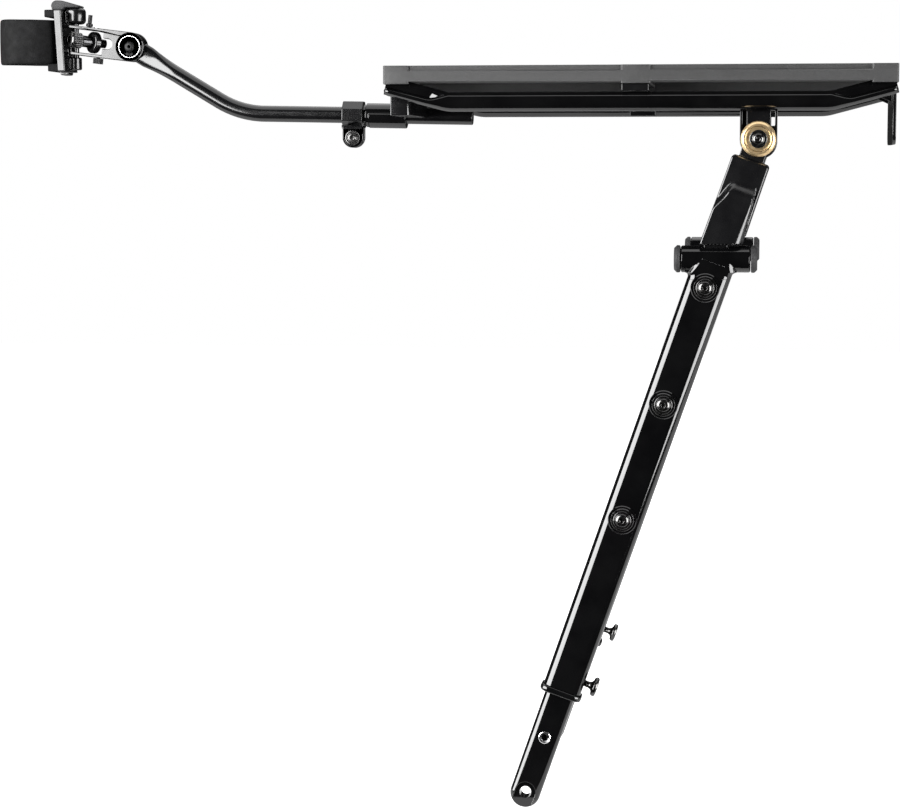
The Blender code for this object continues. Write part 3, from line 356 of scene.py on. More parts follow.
def look_from(name, data, place, target):
    """Link an object at a place, with its -Z axis pointing at a target."""
    made = bpy.data.objects.new(name, data)
    bpy.context.scene.collection.objects.link(made)
    made.location = place
    made.rotation_euler = (Vector(target) - Vector(place)).to_track_quat("-Z", "Y").to_euler()
    return made


def camera():
    """A long lens on the left side, a little below the deck and turned slightly to the front."""
    data = bpy.data.cameras.new("camera")
    data.lens = 97.6
    data.sensor_width = 36.0
    downward, sideways = radians(5.594), radians(7.597)
    made = bpy.data.objects.new("camera", data)
    bpy.context.scene.collection.objects.link(made)
    made.location = (0.0715, -1.3418, -0.0519)
    made.rotation_euler = (pi / 2 - downward, 0.0, sideways)
    bpy.context.scene.camera = made


def softbox(name, place, target, width, height, radiance):
    """A rectangular studio light of a given brightness."""
    data = bpy.data.lights.new(name, "AREA")
    data.shape = "RECTANGLE"
    data.size = width
    data.size_y = height
    data.energy = WATTS_PER_RADIANCE * radiance * width * height
    return look_from(name, data, place, target)


def lights():
    """Tall softboxes on both sides of the camera, and a wide one over the rack."""
    softbox("key_left", (-1.05, -0.76, 0.12), (-0.02, 0.26, 0.0), 1.30, 1.15, 15.0)
    softbox("side_right", (1.15, -0.72, -0.22), (0.10, 0.10, -0.26), 1.05, 1.05, 12.0)
    softbox("overhead", (0.0, 0.55, 1.25), (0.0, 0.35, 0.0), 2.4, 2.6, 1.6)


def world():
    """White for the camera; the rack itself sees a dark studio, slightly lighter behind it."""
    made = bpy.data.worlds.new("studio")
    bpy.context.scene.world = made
    made.use_nodes = True
    tree = made.node_tree
    tree.nodes.clear()
    output = tree.nodes.new("ShaderNodeOutputWorld")
    coords = tree.nodes.new("ShaderNodeTexCoord")
    split = tree.nodes.new("ShaderNodeSeparateXYZ")
    tree.links.new(coords.outputs["Generated"], split.inputs["Vector"])
    strength = remapped(tree, split.outputs["Y"], 0.02, 0.035, (-0.1, 0.7))
    surroundings = tree.nodes.new("ShaderNodeBackground")
    tree.links.new(strength, surroundings.inputs["Strength"])
    backdrop = tree.nodes.new("ShaderNodeBackground")
    backdrop.inputs["Color"].default_value = (1.0, 1.0, 1.0, 1.0)
    backdrop.inputs["Strength"].default_value = 1.0
    paths = tree.nodes.new("ShaderNodeLightPath")
    choice = tree.nodes.new("ShaderNodeMixShader")
    tree.links.new(paths.outputs["Is Camera Ray"], choice.inputs["Fac"])
    tree.links.new(surroundings.outputs["Background"], choice.inputs[1])
    tree.links.new(backdrop.outputs["Background"], choice.inputs[2])
    tree.links.new(choice.outputs["Shader"], output.inputs["Surface"])


def floor():
    """Plain pale table under the rack; it glows so that no shadow shows, less so to the rear."""
    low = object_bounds()[0]
    front, back, half = -0.11, 3.2, 3.0
    glow_end, glow_in_camera = 0.45, 1.3
    shape = bmesh.new()
    corners = [(-half, front), (half, front), (half, back), (-half, back)]
    shape.faces.new([shape.verts.new((x, y, low.z - GAP)) for x, y in corners])
    mesh = bpy.data.meshes.new("floor")
    shape.to_mesh(mesh)
    shape.free()
    made = bpy.data.objects.new("floor", mesh)
    bpy.context.scene.collection.objects.link(made)
    table = finish("floor", (0.26, 0.26, 0.26), (0.30, 0.30, 0.30), (0.85, 0.95), mottle=3.0)
    shader = table.node_tree.nodes["Principled BSDF"]
    shader.inputs["Emission Color"].default_value = (1.0, 1.0, 1.0, 1.0)
    tree = table.node_tree
    split = tree.nodes.new("ShaderNodeSeparateXYZ")
    tree.links.new(tree.nodes["coords"].outputs["Object"], split.inputs["Vector"])
    near_glow = remapped(tree, split.outputs["Y"], 1.1, 0.02, (front, glow_end))
    paths = tree.nodes.new("ShaderNodeLightPath")
    glow = tree.nodes.new("ShaderNodeMix")
    tree.links.new(paths.outputs["Is Camera Ray"], glow.inputs["Factor"])
    tree.links.new(near_glow, glow.inputs["A"])
    glow.inputs["B"].default_value = glow_in_camera
    tree.links.new(glow.outputs["Result"], shader.inputs["Emission Strength"])
    shader.inputs["Specular IOR Level"].default_value = 0.0
    mesh.materials.append(table)
    made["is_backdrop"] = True


def studio():
    """Everything around the rack."""
    bpy.context.scene.view_settings.view_transform = "Standard"
    camera()
    world()
    lights()
    floor()


# ---------------------------------------------------------------- outlines and basic shapes

def arc(center, radius, start, end, steps):
    """Points on a circular arc, both ends included, angles in radians."""
    points = []
    for index in range(steps + 1):
        angle = start + (end - start) * index / steps
        points.append((center[0] + radius * cos(angle), center[1] + radius * sin(angle)))
    return points


def circle(radius, sides, center=(0.0, 0.0)):
    """A regular polygon that stands for a circle."""
    return arc(center, radius, 0.0, 2.0 * pi * (sides - 1) / sides, sides - 1)


def rounded_rectangle(width, height, corners, steps=8):
    """An upright rectangle about the origin; corners is one radius, or four from +u +v turning left."""
    radii = corners if isinstance(corners, tuple) else (corners,) * 4
    points = []
    for turn, (side_u, side_v) in enumerate([(1, 1), (-1, 1), (-1, -1), (1, -1)]):
        radius = radii[turn]
        center = (side_u * (width / 2 - radius), side_v * (height / 2 - radius))
        points += arc(center, radius, turn * pi / 2, (turn + 1) * pi / 2, steps)
    return points


def loft(sections):
    """Join closed loops of 3-D points into a solid with flat ends."""
    shape = bmesh.new()
    loops = [[shape.verts.new(point) for point in section] for section in sections]
    for near, far in zip(loops, loops[1:]):
        for index in range(len(near)):
            after = (index + 1) % len(near)
            shape.faces.new((near[index], near[after], far[after], far[index]))
    shape.faces.new(list(reversed(loops[0])))
    shape.faces.new(loops[-1])
    return shape


def extrude_y(outline, low, high):
    """An outline in X and Z, made solid between two values of Y."""
    return loft([[Vector((x, y, z)) for x, z in outline] for y in (low, high)])


def extrude_x(outline, low, high):
    """An outline in Y and Z, made solid between two values of X."""
    return loft([[Vector((x, y, z)) for y, z in outline] for x in (low, high)])


def extrude_z(outline, low, high):
    """An outline in X and Y, made solid between two values of Z."""
    return loft([[Vector((x, y, z)) for x, y in outline] for z in (low, high)])


def box(low, high):
    """A rectangular block between two corners."""
    outline = [(low[0], low[1]), (high[0], low[1]), (high[0], high[1]), (low[0], high[1])]
    return extrude_z(outline, low[2], high[2])


def moved(shape, *place):
    """Shift a shape."""
    shape.transform(Matrix.Translation(place))
    return shape


def ring(profile, sides=64, closed=True):
    """A solid of revolution about Z from (radius, height) points; closed joins last to first."""
    shape = bmesh.new()
    loops = [[shape.verts.new((x, y, height)) for x, y in circle(radius, sides)]
             for radius, height in profile]
    pairs = list(zip(loops, loops[1:] + loops[:1]))
    for near, far in pairs if closed else pairs[:-1]:
        for index in range(sides):
            after = (index + 1) % sides
            shape.faces.new((near[index], near[after], far[after], far[index]))
    if not closed:
        shape.faces.new(list(reversed(loops[0])))
        shape.faces.new(loops[-1])
    return shape


def turned(profile, sides=64):
    """A turned solid with flat ends."""
    return ring(profile, sides, closed=False)


def pointing(shape, direction, place=(0.0, 0.0, 0.0)):
    """Turn a shape made about +Z to point along a direction, and move it."""
    turn = Vector((0.0, 0.0, 1.0)).rotation_difference(Vector(direction)).to_matrix().to_4x4()
    shape.transform(Matrix.Translation(Vector(place)) @ turn)
    return shape


def rod(start, end, radius, sides=48):
    """A straight round bar between two points."""
    start, end = Vector(start), Vector(end)
    length = (end - start).length
    return pointing(turned([(radius, 0.0), (radius, length)], sides), end - start, start)


def cross_rod(x, z, low_y, high_y, radius, sides=48):
    """A straight round bar from one value of Y to another."""
    return rod((x, low_y, z), (x, high_y, z), radius, sides)


def filleted_path(corners, radius, steps=14):
    """A path in the XZ plane through corner points, with each inner corner made an arc."""
    path = [corners[0]]
    for before, corner, after in zip(corners, corners[1:], corners[2:]):
        into = (corner - before).normalized()
        out = (after - corner).normalized()
        turn = into.angle(out)
        start = corner - into * (radius * tan(turn / 2))
        center = corner + (out - into).normalized() * (radius / cos(turn / 2))
        axis = into.cross(out).normalized()
        for index in range(steps + 1):
            path.append(center + Matrix.Rotation(turn * index / steps, 3, axis) @ (start - center))
    path.append(corners[-1])
    return path


def swept(path, section_at):
    """Sweep a section along a path in the XZ plane; section_at gives (across, up) points."""
    sections = []
    for index, point in enumerate(path):
        before = path[max(index - 1, 0)]
        after = path[min(index + 1, len(path) - 1)]
        up = (after - before).normalized().cross(ACROSS)
        sections.append([point + ACROSS * u + up * v for u, v in section_at(index)])
    return loft(sections)


def dense(path, step):
    """The same path with points added so that none are further apart than a step."""
    points = []
    for start, end in zip(path, path[1:]):
        count = max(1, round((end - start).length / step))
        points += [start.lerp(end, index / count) for index in range(count)]
    return points + [path[-1]]


def smooth_share(value, low, high):
    """How far a value is from low to high, from 0 to 1, with soft ends."""
    share = min(max((value - low) / (high - low), 0.0), 1.0)
    return share * share * (3 - 2 * share)


# ---------------------------------------------------------------- booleans and finished pieces

def temporary(shape):
    """A bmesh as an object for one boolean; the bmesh is used up."""
    bmesh.ops.remove_doubles(shape, verts=shape.verts, dist=1e-6)
    bmesh.ops.recalc_face_normals(shape, faces=shape.faces)
    mesh = bpy.data.meshes.new("temporary")
    shape.to_mesh(mesh)
    shape.free()
    made = bpy.data.objects.new("temporary", mesh)
    bpy.context.scene.collection.objects.link(made)
    return made


def boolean(shape, other, operation):
    """One boolean of two bmeshes; both are used up."""
    target, helper = temporary(shape), temporary(other)
    modifier = target.modifiers.new("boolean", "BOOLEAN")
    modifier.operation = operation
    modifier.solver = "EXACT"
    modifier.object = helper
    result = bmesh.new()
    result.from_object(target, bpy.context.evaluated_depsgraph_get())
    for item in (target, helper):
        mesh = item.data
        bpy.data.objects.remove(item)
        bpy.data.meshes.remove(mesh)
    return result


def cut(shape, *others):
    """Take shapes away from a shape."""
    for other in others:
        shape = boolean(shape, other, "DIFFERENCE")
    return shape


def weld(shape, *others):
    """Join shapes onto a shape."""
    for other in others:
        shape = boolean(shape, other, "UNION")
    return shape


def together(shapes):
    """Several shapes that don't touch, as one."""
    result = bmesh.new()
    for shape in shapes:
        mesh = bpy.data.meshes.new("part")
        shape.to_mesh(mesh)
        shape.free()
        result.from_mesh(mesh)
        bpy.data.meshes.remove(mesh)
    return result


def piece(name, shape, look, body, *nodes, edge=0.25 * MM, angle=32.0, place=None, slot=None):
    """Finish a bmesh as a piece that rides on a body and stands for CAD nodes.

    place is the frame that the shape was made in; it is also the frame of its surface patterns.
    """
    bmesh.ops.remove_doubles(shape, verts=shape.verts, dist=2e-6)
    bmesh.ops.recalc_face_normals(shape, faces=shape.faces)
    mesh = bpy.data.meshes.new(name)
    shape.to_mesh(mesh)
    shape.free()
    mesh.shade_smooth()
    mesh.materials.append(FINISHES[look])
    made = bpy.data.objects.new(name, mesh)
    bpy.context.scene.collection.objects.link(made)
    if place:
        made.matrix_world = place
    if edge:
        bevel = made.modifiers.new("edges", "BEVEL")
        bevel.width = edge
        bevel.segments = 2
        bevel.limit_method = "ANGLE"
        bevel.angle_limit = radians(angle)
        bevel.use_clamp_overlap = False
        bevel.harden_normals = True
    else:
        mesh.set_sharp_from_angle(angle=radians(angle))
    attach(made, body)
    if nodes:
        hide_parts(*nodes)
    return made


def socket_bolt(head_radius, shoulder, boss_radius, boss_height, shank_radius, shank_length,
                key_radius):
    """A button head with a flat shoulder, a domed boss and a hex socket, about +Z from its seat."""
    steps = 7
    chamfer = 0.3 * MM
    top_radius = key_radius + 0.35 * MM
    profile = [(shank_radius, -shank_length), (shank_radius, 0.0), (head_radius, 0.0),
               (head_radius, shoulder - chamfer), (head_radius - chamfer, shoulder)]
    for step in range(steps + 1):
        angle = pi / 2 * step / steps
        profile.append((boss_radius - (boss_radius - top_radius) * (1 - cos(angle)),
                        shoulder + boss_height * sin(angle)))
    top = shoulder + boss_height
    key = turned([(key_radius, top - 1.3 * MM), (key_radius, top + MM)], 6)
    return cut(turned(profile), key)


def hex_nut(corner_radius, bore_radius, height, sides=6):
    """A nut about +Z with its seat at the origin, and chamfered outer corners."""
    shape = ring([(bore_radius, 0.0), (corner_radius * 1.2, 0.0), (corner_radius * 1.2, height),
                  (bore_radius, height)], sides)
    shape.transform(Matrix.Rotation(pi / sides, 4, "Z"))
    chamfer = 0.12 * corner_radius
    lathe = turned([(corner_radius - chamfer, -0.1 * MM), (corner_radius, chamfer),
                    (corner_radius, height - chamfer), (corner_radius - chamfer, height + 0.1 * MM)])
    return boolean(shape, lathe, "INTERSECT")


# ---------------------------------------------------------------- deck and rails

def deck_moulding():
    """Moulded platform: stepped edges, three cross blocks, ribbed pockets, channel underneath."""
    inset_y = DECK_HALF_WIDTH - EDGE_STEP_INSET
    half = [(CHANNEL_HALF_WIDTH, -DECK_SKIN), (CHANNEL_HALF_WIDTH, -DECK_STRIP_DEPTH),
            (DECK_HALF_WIDTH, -DECK_STRIP_DEPTH), (DECK_HALF_WIDTH, -EDGE_STEP_DEPTH),
            (inset_y, -EDGE_STEP_DEPTH), (inset_y, 0.0)]
    profile = half + [(-y, z) for y, z in reversed(half)]
    deck = extrude_x(profile, -DECK_HALF_LENGTH + MM, DECK_HALF_LENGTH - MM)
    inner_end = DECK_HALF_LENGTH - END_BLOCK_LENGTH
    for low_x, high_x in [(-DECK_HALF_LENGTH, -inner_end), MIDDLE_BLOCK, (inner_end, DECK_HALF_LENGTH)]:
        outline = rounded_rectangle(high_x - low_x, 2 * DECK_HALF_WIDTH, 1.0 * MM, 5)
        block = extrude_z(outline, -DECK_BLOCK_DEPTH, 0.0)
        deck = weld(deck, moved(block, (low_x + high_x) / 2, 0.0, 0.0))
    for side in SIDES:
        deck = cut(deck, rail_bar(side, RAIL_RADIUS + GAP, RAIL_END_X + 0.3 * MM))
    rib_half, rib_bottom = 1.2 * MM, -12.9 * MM
    for low_x, high_x in [(-inner_end + MM, MIDDLE_BLOCK[0] - 0.5 * MM),
                          (MIDDLE_BLOCK[1] + 0.5 * MM, inner_end - MM)]:
        for rib_y in (-44 * MM, 44 * MM):
            rib = box((low_x, rib_y - rib_half, rib_bottom), (high_x, rib_y + rib_half, -DECK_SKIN))
            deck = weld(deck, rib)
    deck = cut(deck, *deck_pockets(inner_end))
    piece("deck_moulding", deck, "deck_plastic", "rack", "deck_platform", edge=0.3 * MM)


def deck_pockets(inner_end):
    """Cutters for four rows of shallow trays on each half of the deck's top, with wells in them."""
    margin = 4 * MM
    width, row_pitch, tray_depth = 17.0 * MM, 24.0 * MM, 0.7 * MM
    well_pitch, well_length, well_depth = 8.6 * MM, 6.6 * MM, 1.6 * MM
    trays, wells = [], []
    for low_x, high_x in [(-inner_end + margin, MIDDLE_BLOCK[0] - margin),
                          (MIDDLE_BLOCK[1] + margin, inner_end - margin)]:
        for row in (-1.5, -0.5, 0.5, 1.5):
            y = row * row_pitch
            tray = extrude_z(rounded_rectangle(high_x - low_x, width, 3 * MM), -tray_depth, MM)
            trays.append(moved(tray, (low_x + high_x) / 2, y, 0.0))
            count = int((high_x - low_x - 2 * MM) / well_pitch)
            start = (low_x + high_x - (count - 1) * well_pitch) / 2
            outline = rounded_rectangle(well_length, width - 2.4 * MM, 1.8 * MM, 4)
            for index in range(count):
                well = extrude_z(outline, -well_depth, MM)
                wells.append(moved(well, start + index * well_pitch, y, 0.0))
    return together(trays), together(wells)


def rail_path(end_x):
    """A side rail's axis: level under the deck, rising towards both end blocks."""
    end_z = RAIL_Z + (end_x - RAIL_BEND_X) * tan(RAIL_RISE)
    corners = [Vector((-end_x, 0.0, end_z)), Vector((-RAIL_BEND_X, 0.0, RAIL_Z)),
               Vector((RAIL_BEND_X, 0.0, RAIL_Z)), Vector((end_x, 0.0, end_z))]
    return filleted_path(corners, RAIL_BEND_RADIUS)


def rail_bar(side, radius, end_x):
    """The plain round form of a side rail, for the pieces that it passes through."""
    return moved(swept(rail_path(end_x), lambda index: circle(radius, 40)), 0.0, side * RAIL_Y, 0.0)


def pressed_rail():
    """Round rail whose rising ends are pressed into a low bead with a thin web above it."""
    path = dense(rail_path(RAIL_END_X), 1.2 * MM)
    bead_half, web_half, nose = 2.4 * MM, 4.9 * MM, 2.0 * MM

    def pressed(index):
        return smooth_share(abs(path[index].x), RAIL_BEND_X - 1.0 * MM, RAIL_BEND_X + 11.0 * MM)

    def bead(index):
        half = RAIL_RADIUS + (bead_half - RAIL_RADIUS) * pressed(index)
        left = min(abs(path[index].x - path[0].x), abs(path[index].x - path[-1].x))
        scale = sqrt(max(0.12, 1.0 - (1.0 - min(left / nose, 1.0)) ** 2))
        drop = RAIL_RADIUS - half
        wide = RAIL_RADIUS * (0.5 + 0.5 * scale)
        return [(u * wide, v * half * scale - drop) for u, v in circle(1.0, 48)]

    def web(index):
        wide = web_half - 2.6 * MM * pressed(index)
        return [(u * wide, v * web_half) for u, v in circle(1.0, 48)]

    return weld(swept(path, bead), swept(path, web))


def side_rails():
    """The two bars that carry the deck and the legs."""
    for side, word in SIDES.items():
        shape = moved(pressed_rail(), 0.0, side * RAIL_Y, 0.0)
        piece("side_rail_" + word, shape, "gloss_black", "rack", "rail_" + word, edge=0.0, angle=50.0)


def crossbar():
    """Bar between the rails at the front; its rear edges are well rounded."""
    width = CROSSBAR_X[1] - CROSSBAR_X[0]
    half_span = RAIL_Y - RAIL_RADIUS - 0.5 * MM
    rear, front = 2.2 * MM, 0.5 * MM
    outline = rounded_rectangle(width, 2 * half_span, (rear, front, front, rear))
    bar = moved(extrude_z(outline, *CROSSBAR_Z), sum(CROSSBAR_X) / 2, 0.0, 0.0)
    bar = cut(bar, arm_rod(CROSSBAR_X[0] - 2 * MM, CROSSBAR_X[1] + 2 * MM, SLEEVE_BORE))
    piece("front_bar", bar, "satin_black", "rack", "front_crossbar", edge=0.5 * MM)


def middle_bar():
    """Flat bar under the deck's middle block, with a flanged tab that has a hole."""
    low_x, high_x = MIDDLE_BLOCK[0] + 0.3 * MM, MIDDLE_BLOCK[1] - 1.0 * MM
    top = -DECK_BLOCK_DEPTH - GAP
    under = RAIL_Z + RAIL_RADIUS + GAP
    span = RAIL_Y + RAIL_RADIUS
    tab_bottom, wall, depth = -24.7 * MM, 2.2 * MM, 8.0 * MM
    bar = box((low_x, -span, under), (high_x, span, top))
    bar = weld(bar, box((low_x, -depth / 2, tab_bottom), (high_x, depth / 2, under + 1.0 * MM)))
    bar = cut(bar, box((low_x + wall, -depth / 2 - MM, tab_bottom + wall),
                       (high_x - wall, depth / 2 - 1.8 * MM, under - 0.5 * MM)))
    hole_z, hole_radius = -19.2 * MM, 2.6 * MM
    bar = cut(bar, cross_rod((low_x + high_x) / 2, hole_z, 0.0, depth, hole_radius))
    piece("middle_bar", bar, "satin_black", "rack", "middle_bracket", edge=0.35 * MM)


def lamp_plate():
    """Upright plate under the rear edge for a light, on a flange with two gussets."""
    thickness, half_width, rear, bottom = 1.9 * MM, 31.0 * MM, 133.4 * MM, -40.6 * MM
    top = -DECK_BLOCK_DEPTH - GAP
    flange_front = 118.5 * MM
    corner = 6.0 * MM
    lower = arc((half_width - corner, bottom + corner), corner, -pi / 2, 0.0, 12)
    outline = lower + [(half_width, top), (-half_width, top)]
    outline += [(-y, z) for y, z in reversed(lower)]
    plate = extrude_x(outline, rear - thickness, rear)
    plate = weld(plate, box((flange_front, -half_width, top - 2.2 * MM), (rear - MM, half_width, top)))
    web = [(rear - MM, top - MM), (flange_front + 2 * MM, top - MM),
           (flange_front + 2 * MM, top - 3.6 * MM), (rear - MM, -18.7 * MM)]
    web_half = 1.2 * MM
    for gusset_y in (-20 * MM, 20 * MM):
        plate = weld(plate, extrude_y(web, gusset_y - web_half, gusset_y + web_half))
    hole_z, hole_radius = -31 * MM, 2.6 * MM
    for hole_y in (-25 * MM, 25 * MM):
        start, end = (rear - 4 * MM, hole_y, hole_z), (rear + 2 * MM, hole_y, hole_z)
        plate = cut(plate, rod(start, end, hole_radius))
    piece("lamp_plate", plate, "satin_black", "rack", "light_bracket", edge=0.35 * MM)


# ---------------------------------------------------------------- sleeve, collar and arm

def arm_line(x):
    """The point of the arm's straight axis at that x."""
    return Vector((x, 0.0, ARM_BEND.z - (x - ARM_BEND.x) * tan(ARM_FALL)))


def arm_rod(low_x, high_x, radius, sides=56):
    """A round bar along the arm's straight axis between two values of x."""
    return rod(arm_line(low_x), arm_line(high_x), radius, sides)


def sleeve_tube():
    """Tube welded to the crossbar; its thinner front end is slit and sits in the collar."""
    stub_front = COLLAR_X[0] + 0.6 * MM
    tube = weld(arm_rod(SLEEVE_X[0], SLEEVE_X[1], SLEEVE_RADIUS),
                arm_rod(stub_front, SLEEVE_X[0] + 2 * MM, STUB_RADIUS))
    jacket = arm_rod(SLEEVE_X[0] + 1.8 * MM, SLEEVE_X[1] + 0.2 * MM, SLEEVE_RADIUS + 0.35 * MM)
    lower_part = box((SLEEVE_X[0], -10 * MM, arm_line(SLEEVE_X[0]).z - 9 * MM),
                     (SLEEVE_X[1] + MM, 10 * MM, arm_line(SLEEVE_X[1]).z + 1.2 * MM))
    tube = weld(tube, boolean(jacket, lower_part, "INTERSECT"))
    tube = cut(tube, arm_rod(stub_front - 5 * MM, SLEEVE_X[1] + 5 * MM, SLEEVE_BORE))
    slit_half = 0.8 * MM
    slit_z = arm_line(stub_front).z
    slit = box((stub_front - MM, -slit_half, slit_z - 9 * MM),
               (SLEEVE_X[0] + 1.2 * MM, slit_half, slit_z - 2 * MM))
    piece("sleeve_tube", cut(tube, slit), "gloss_black", "rack", "sleeve", edge=0.35 * MM)


def collar():
    """Split clamp: an eight-sided band with two rimmed lugs, and the bolt that closes it."""
    middle = arm_line(sum(COLLAR_X) / 2)
    half_width = (COLLAR_X[1] - COLLAR_X[0]) / 2
    sides = 8
    corner_radius = COLLAR_RADIUS / cos(pi / sides)
    band = turned([(corner_radius, 0.0), (corner_radius, 2 * half_width)], sides)
    band.transform(Matrix.Rotation(pi / sides, 4, "Z"))
    along = arm_line(COLLAR_X[1]) - arm_line(COLLAR_X[0])
    band = pointing(band, along, arm_line(COLLAR_X[0]))
    inner, outer = LUG_FACES
    lug_center = (middle.x, COLLAR_BOLT.z + 0.2 * MM)
    end = arc(lug_center, half_width, -pi, 0.0, 32)
    outline = end + [(middle.x + half_width, middle.z), (middle.x - half_width, middle.z)]
    band = weld(band, extrude_y(outline, -outer, outer))
    rim, dish_top = 0.9 * MM, middle.z - 8.2 * MM
    dish = arc(lug_center, half_width - rim, -pi, 0.0, 32)
    dish += [(middle.x + half_width - rim, dish_top), (middle.x - half_width + rim, dish_top)]
    for side in SIDES:
        low, high = sorted((side * (outer - 0.5 * MM), side * (outer + MM)))
        band = cut(band, extrude_y(dish, low, high))
    shank, far = 2.4 * MM, 9 * MM
    split = box((COLLAR_X[0] - MM, -inner, COLLAR_BOLT.z - far), (COLLAR_X[1] + MM, inner, middle.z))
    band = cut(band, arm_rod(COLLAR_X[0] - 2 * MM, COLLAR_X[1] + 2 * MM, STUB_RADIUS + GAP), split,
               cross_rod(COLLAR_BOLT.x, COLLAR_BOLT.z, -far, far, shank + GAP))
    piece("split_collar", band, "satin_black", "rack", "collar_clamp", edge=0.45 * MM, angle=28.0)
    bolt = socket_bolt(4.1 * MM, 2.2 * MM, 2.6 * MM, 1.2 * MM, shank, 11.6 * MM, 1.2 * MM)
    frame_there = Matrix.Translation(COLLAR_BOLT)
    bolt = pointing(bolt, -ACROSS, -ACROSS * (outer + GAP))
    piece("collar_screw", bolt, "black_oxide", "rack", "collar_bolt", place=frame_there)
    nut = pointing(hex_nut(4.5 * MM, shank + GAP, 3.2 * MM), ACROSS, ACROSS * (outer + GAP))
    piece("collar_hex_nut", nut, "black_oxide", "rack", "collar_nut", place=frame_there)


def support_arm():
    """Bent round bar with a flattened front end that holds the head pivot's eye."""
    rise = Vector((-cos(ARM_RISE), 0.0, sin(ARM_RISE)))
    reach = (HEAD_PIVOT - ARM_BEND).length
    taper_start = ARM_BEND + rise * (reach - 30 * MM)
    bar = filleted_path([arm_line(ARM_TAIL_X), ARM_BEND, taper_start], ARM_BEND_RADIUS, 30)
    steps = 14
    taper = [taper_start + rise * (19 * MM * step / steps) for step in range(1, steps + 1)]
    path = bar + taper + [taper_start + rise * 24 * MM]
    sizes = [(ARM_RADIUS, ARM_RADIUS)] * len(bar)
    for step in range(1, steps + 1):
        share = step / steps
        sizes.append((ARM_RADIUS + (TAB_HALF_THICKNESS - ARM_RADIUS) * smooth_share(share, 0.0, 1.0),
                      ARM_RADIUS + (0.8 * EYE_RADIUS - ARM_RADIUS) * share ** 2))
    sizes.append(sizes[-1])

    def section(index):
        wide, high = sizes[index]
        return [(u * wide, v * high) for u, v in circle(1.0, 40)]

    eye_x, eye_z, far = HEAD_PIVOT.x, HEAD_PIVOT.z, 9 * MM
    eye = cross_rod(eye_x, eye_z, -TAB_HALF_THICKNESS, TAB_HALF_THICKNESS, EYE_RADIUS, 64)
    shape = weld(swept(path, section), eye)
    shape = cut(shape, cross_rod(eye_x, eye_z, -far, far, PIVOT_BORE))
    piece("support_arm", shape, "satin_black", "arm", "arm", edge=0.4 * MM, angle=40.0)


# ---------------------------------------------------------------- yoke and strap clamp

YOKE_PLACE = Matrix.Translation(HEAD_PIVOT) @ Matrix.Rotation(YOKE_TILT, 4, "Y")
SWIVEL_PLACE = Matrix.Translation((SWIVEL_X, 0.0, 0.0))


def in_yoke(point):
    """A point of the rack, in the yoke's own tilted frame."""
    return Matrix.Rotation(-YOKE_TILT, 3, "Y") @ (Vector(point) - HEAD_PIVOT)


def yoke_block():
    """Forked block: a slot for the arm's eye behind, two swivel bars in front."""
    outline = arc((0.0, 0.0), YOKE_HALF_HEIGHT, -pi / 2, pi / 2, 40)
    outline += [(YOKE_FRONT[1], YOKE_HALF_HEIGHT), (YOKE_FRONT[-1], -YOKE_HALF_HEIGHT)]
    shape = extrude_y(outline, -YOKE_HALF_WIDTH, YOKE_HALF_WIDTH)
    far = 12 * MM
    front = YOKE_FRONT[1] - MM
    window = [(YOKE_WINDOW_REAR, -YOKE_BAR_INNER), (YOKE_WINDOW_REAR, YOKE_BAR_INNER),
              (front, YOKE_BAR_INNER), (front, -YOKE_BAR_INNER)]
    slot = arc((-12.6 * MM, 0.0), YOKE_SLOT_HALF, -pi / 2, pi / 2, 24)
    slot += [(YOKE_WINDOW_REAR - MM, YOKE_SLOT_HALF), (YOKE_WINDOW_REAR - MM, -YOKE_SLOT_HALF)]
    tab_gap = TAB_HALF_THICKNESS + GAP
    shape = cut(shape, extrude_y(window, -far, far), extrude_y(slot, -far, far),
                box((-EYE_RADIUS - 0.8 * MM, -tab_gap, -far), (far, tab_gap, far)),
                cross_rod(0.0, 0.0, -far, far, PIVOT_BORE))
    for side in SIDES:
        groove = ring([(6.7 * MM, 0.0), (7.5 * MM, 0.0), (7.5 * MM, 2 * MM), (6.7 * MM, 2 * MM)])
        groove = pointing(groove, ACROSS * side, ACROSS * side * (YOKE_HALF_WIDTH - 0.6 * MM))
        seat_y = side * (YOKE_HALF_WIDTH - YOKE_SEAT_DEPTH)
        shape = cut(shape, cross_rod(0.0, 0.0, seat_y, side * far, 6.3 * MM, 64), groove)
    pin_low = in_yoke((SWIVEL_X, 0.0, HEAD_PIVOT.z - 2 * far))
    pin_high = in_yoke((SWIVEL_X, 0.0, HEAD_PIVOT.z + 2 * far))
    shape = cut(shape, rod(pin_low, pin_high, SWIVEL_PIN_RADIUS + GAP))
    piece("yoke_block", shape, "satin_black", "yoke", "yoke", place=YOKE_PLACE, edge=0.45 * MM)


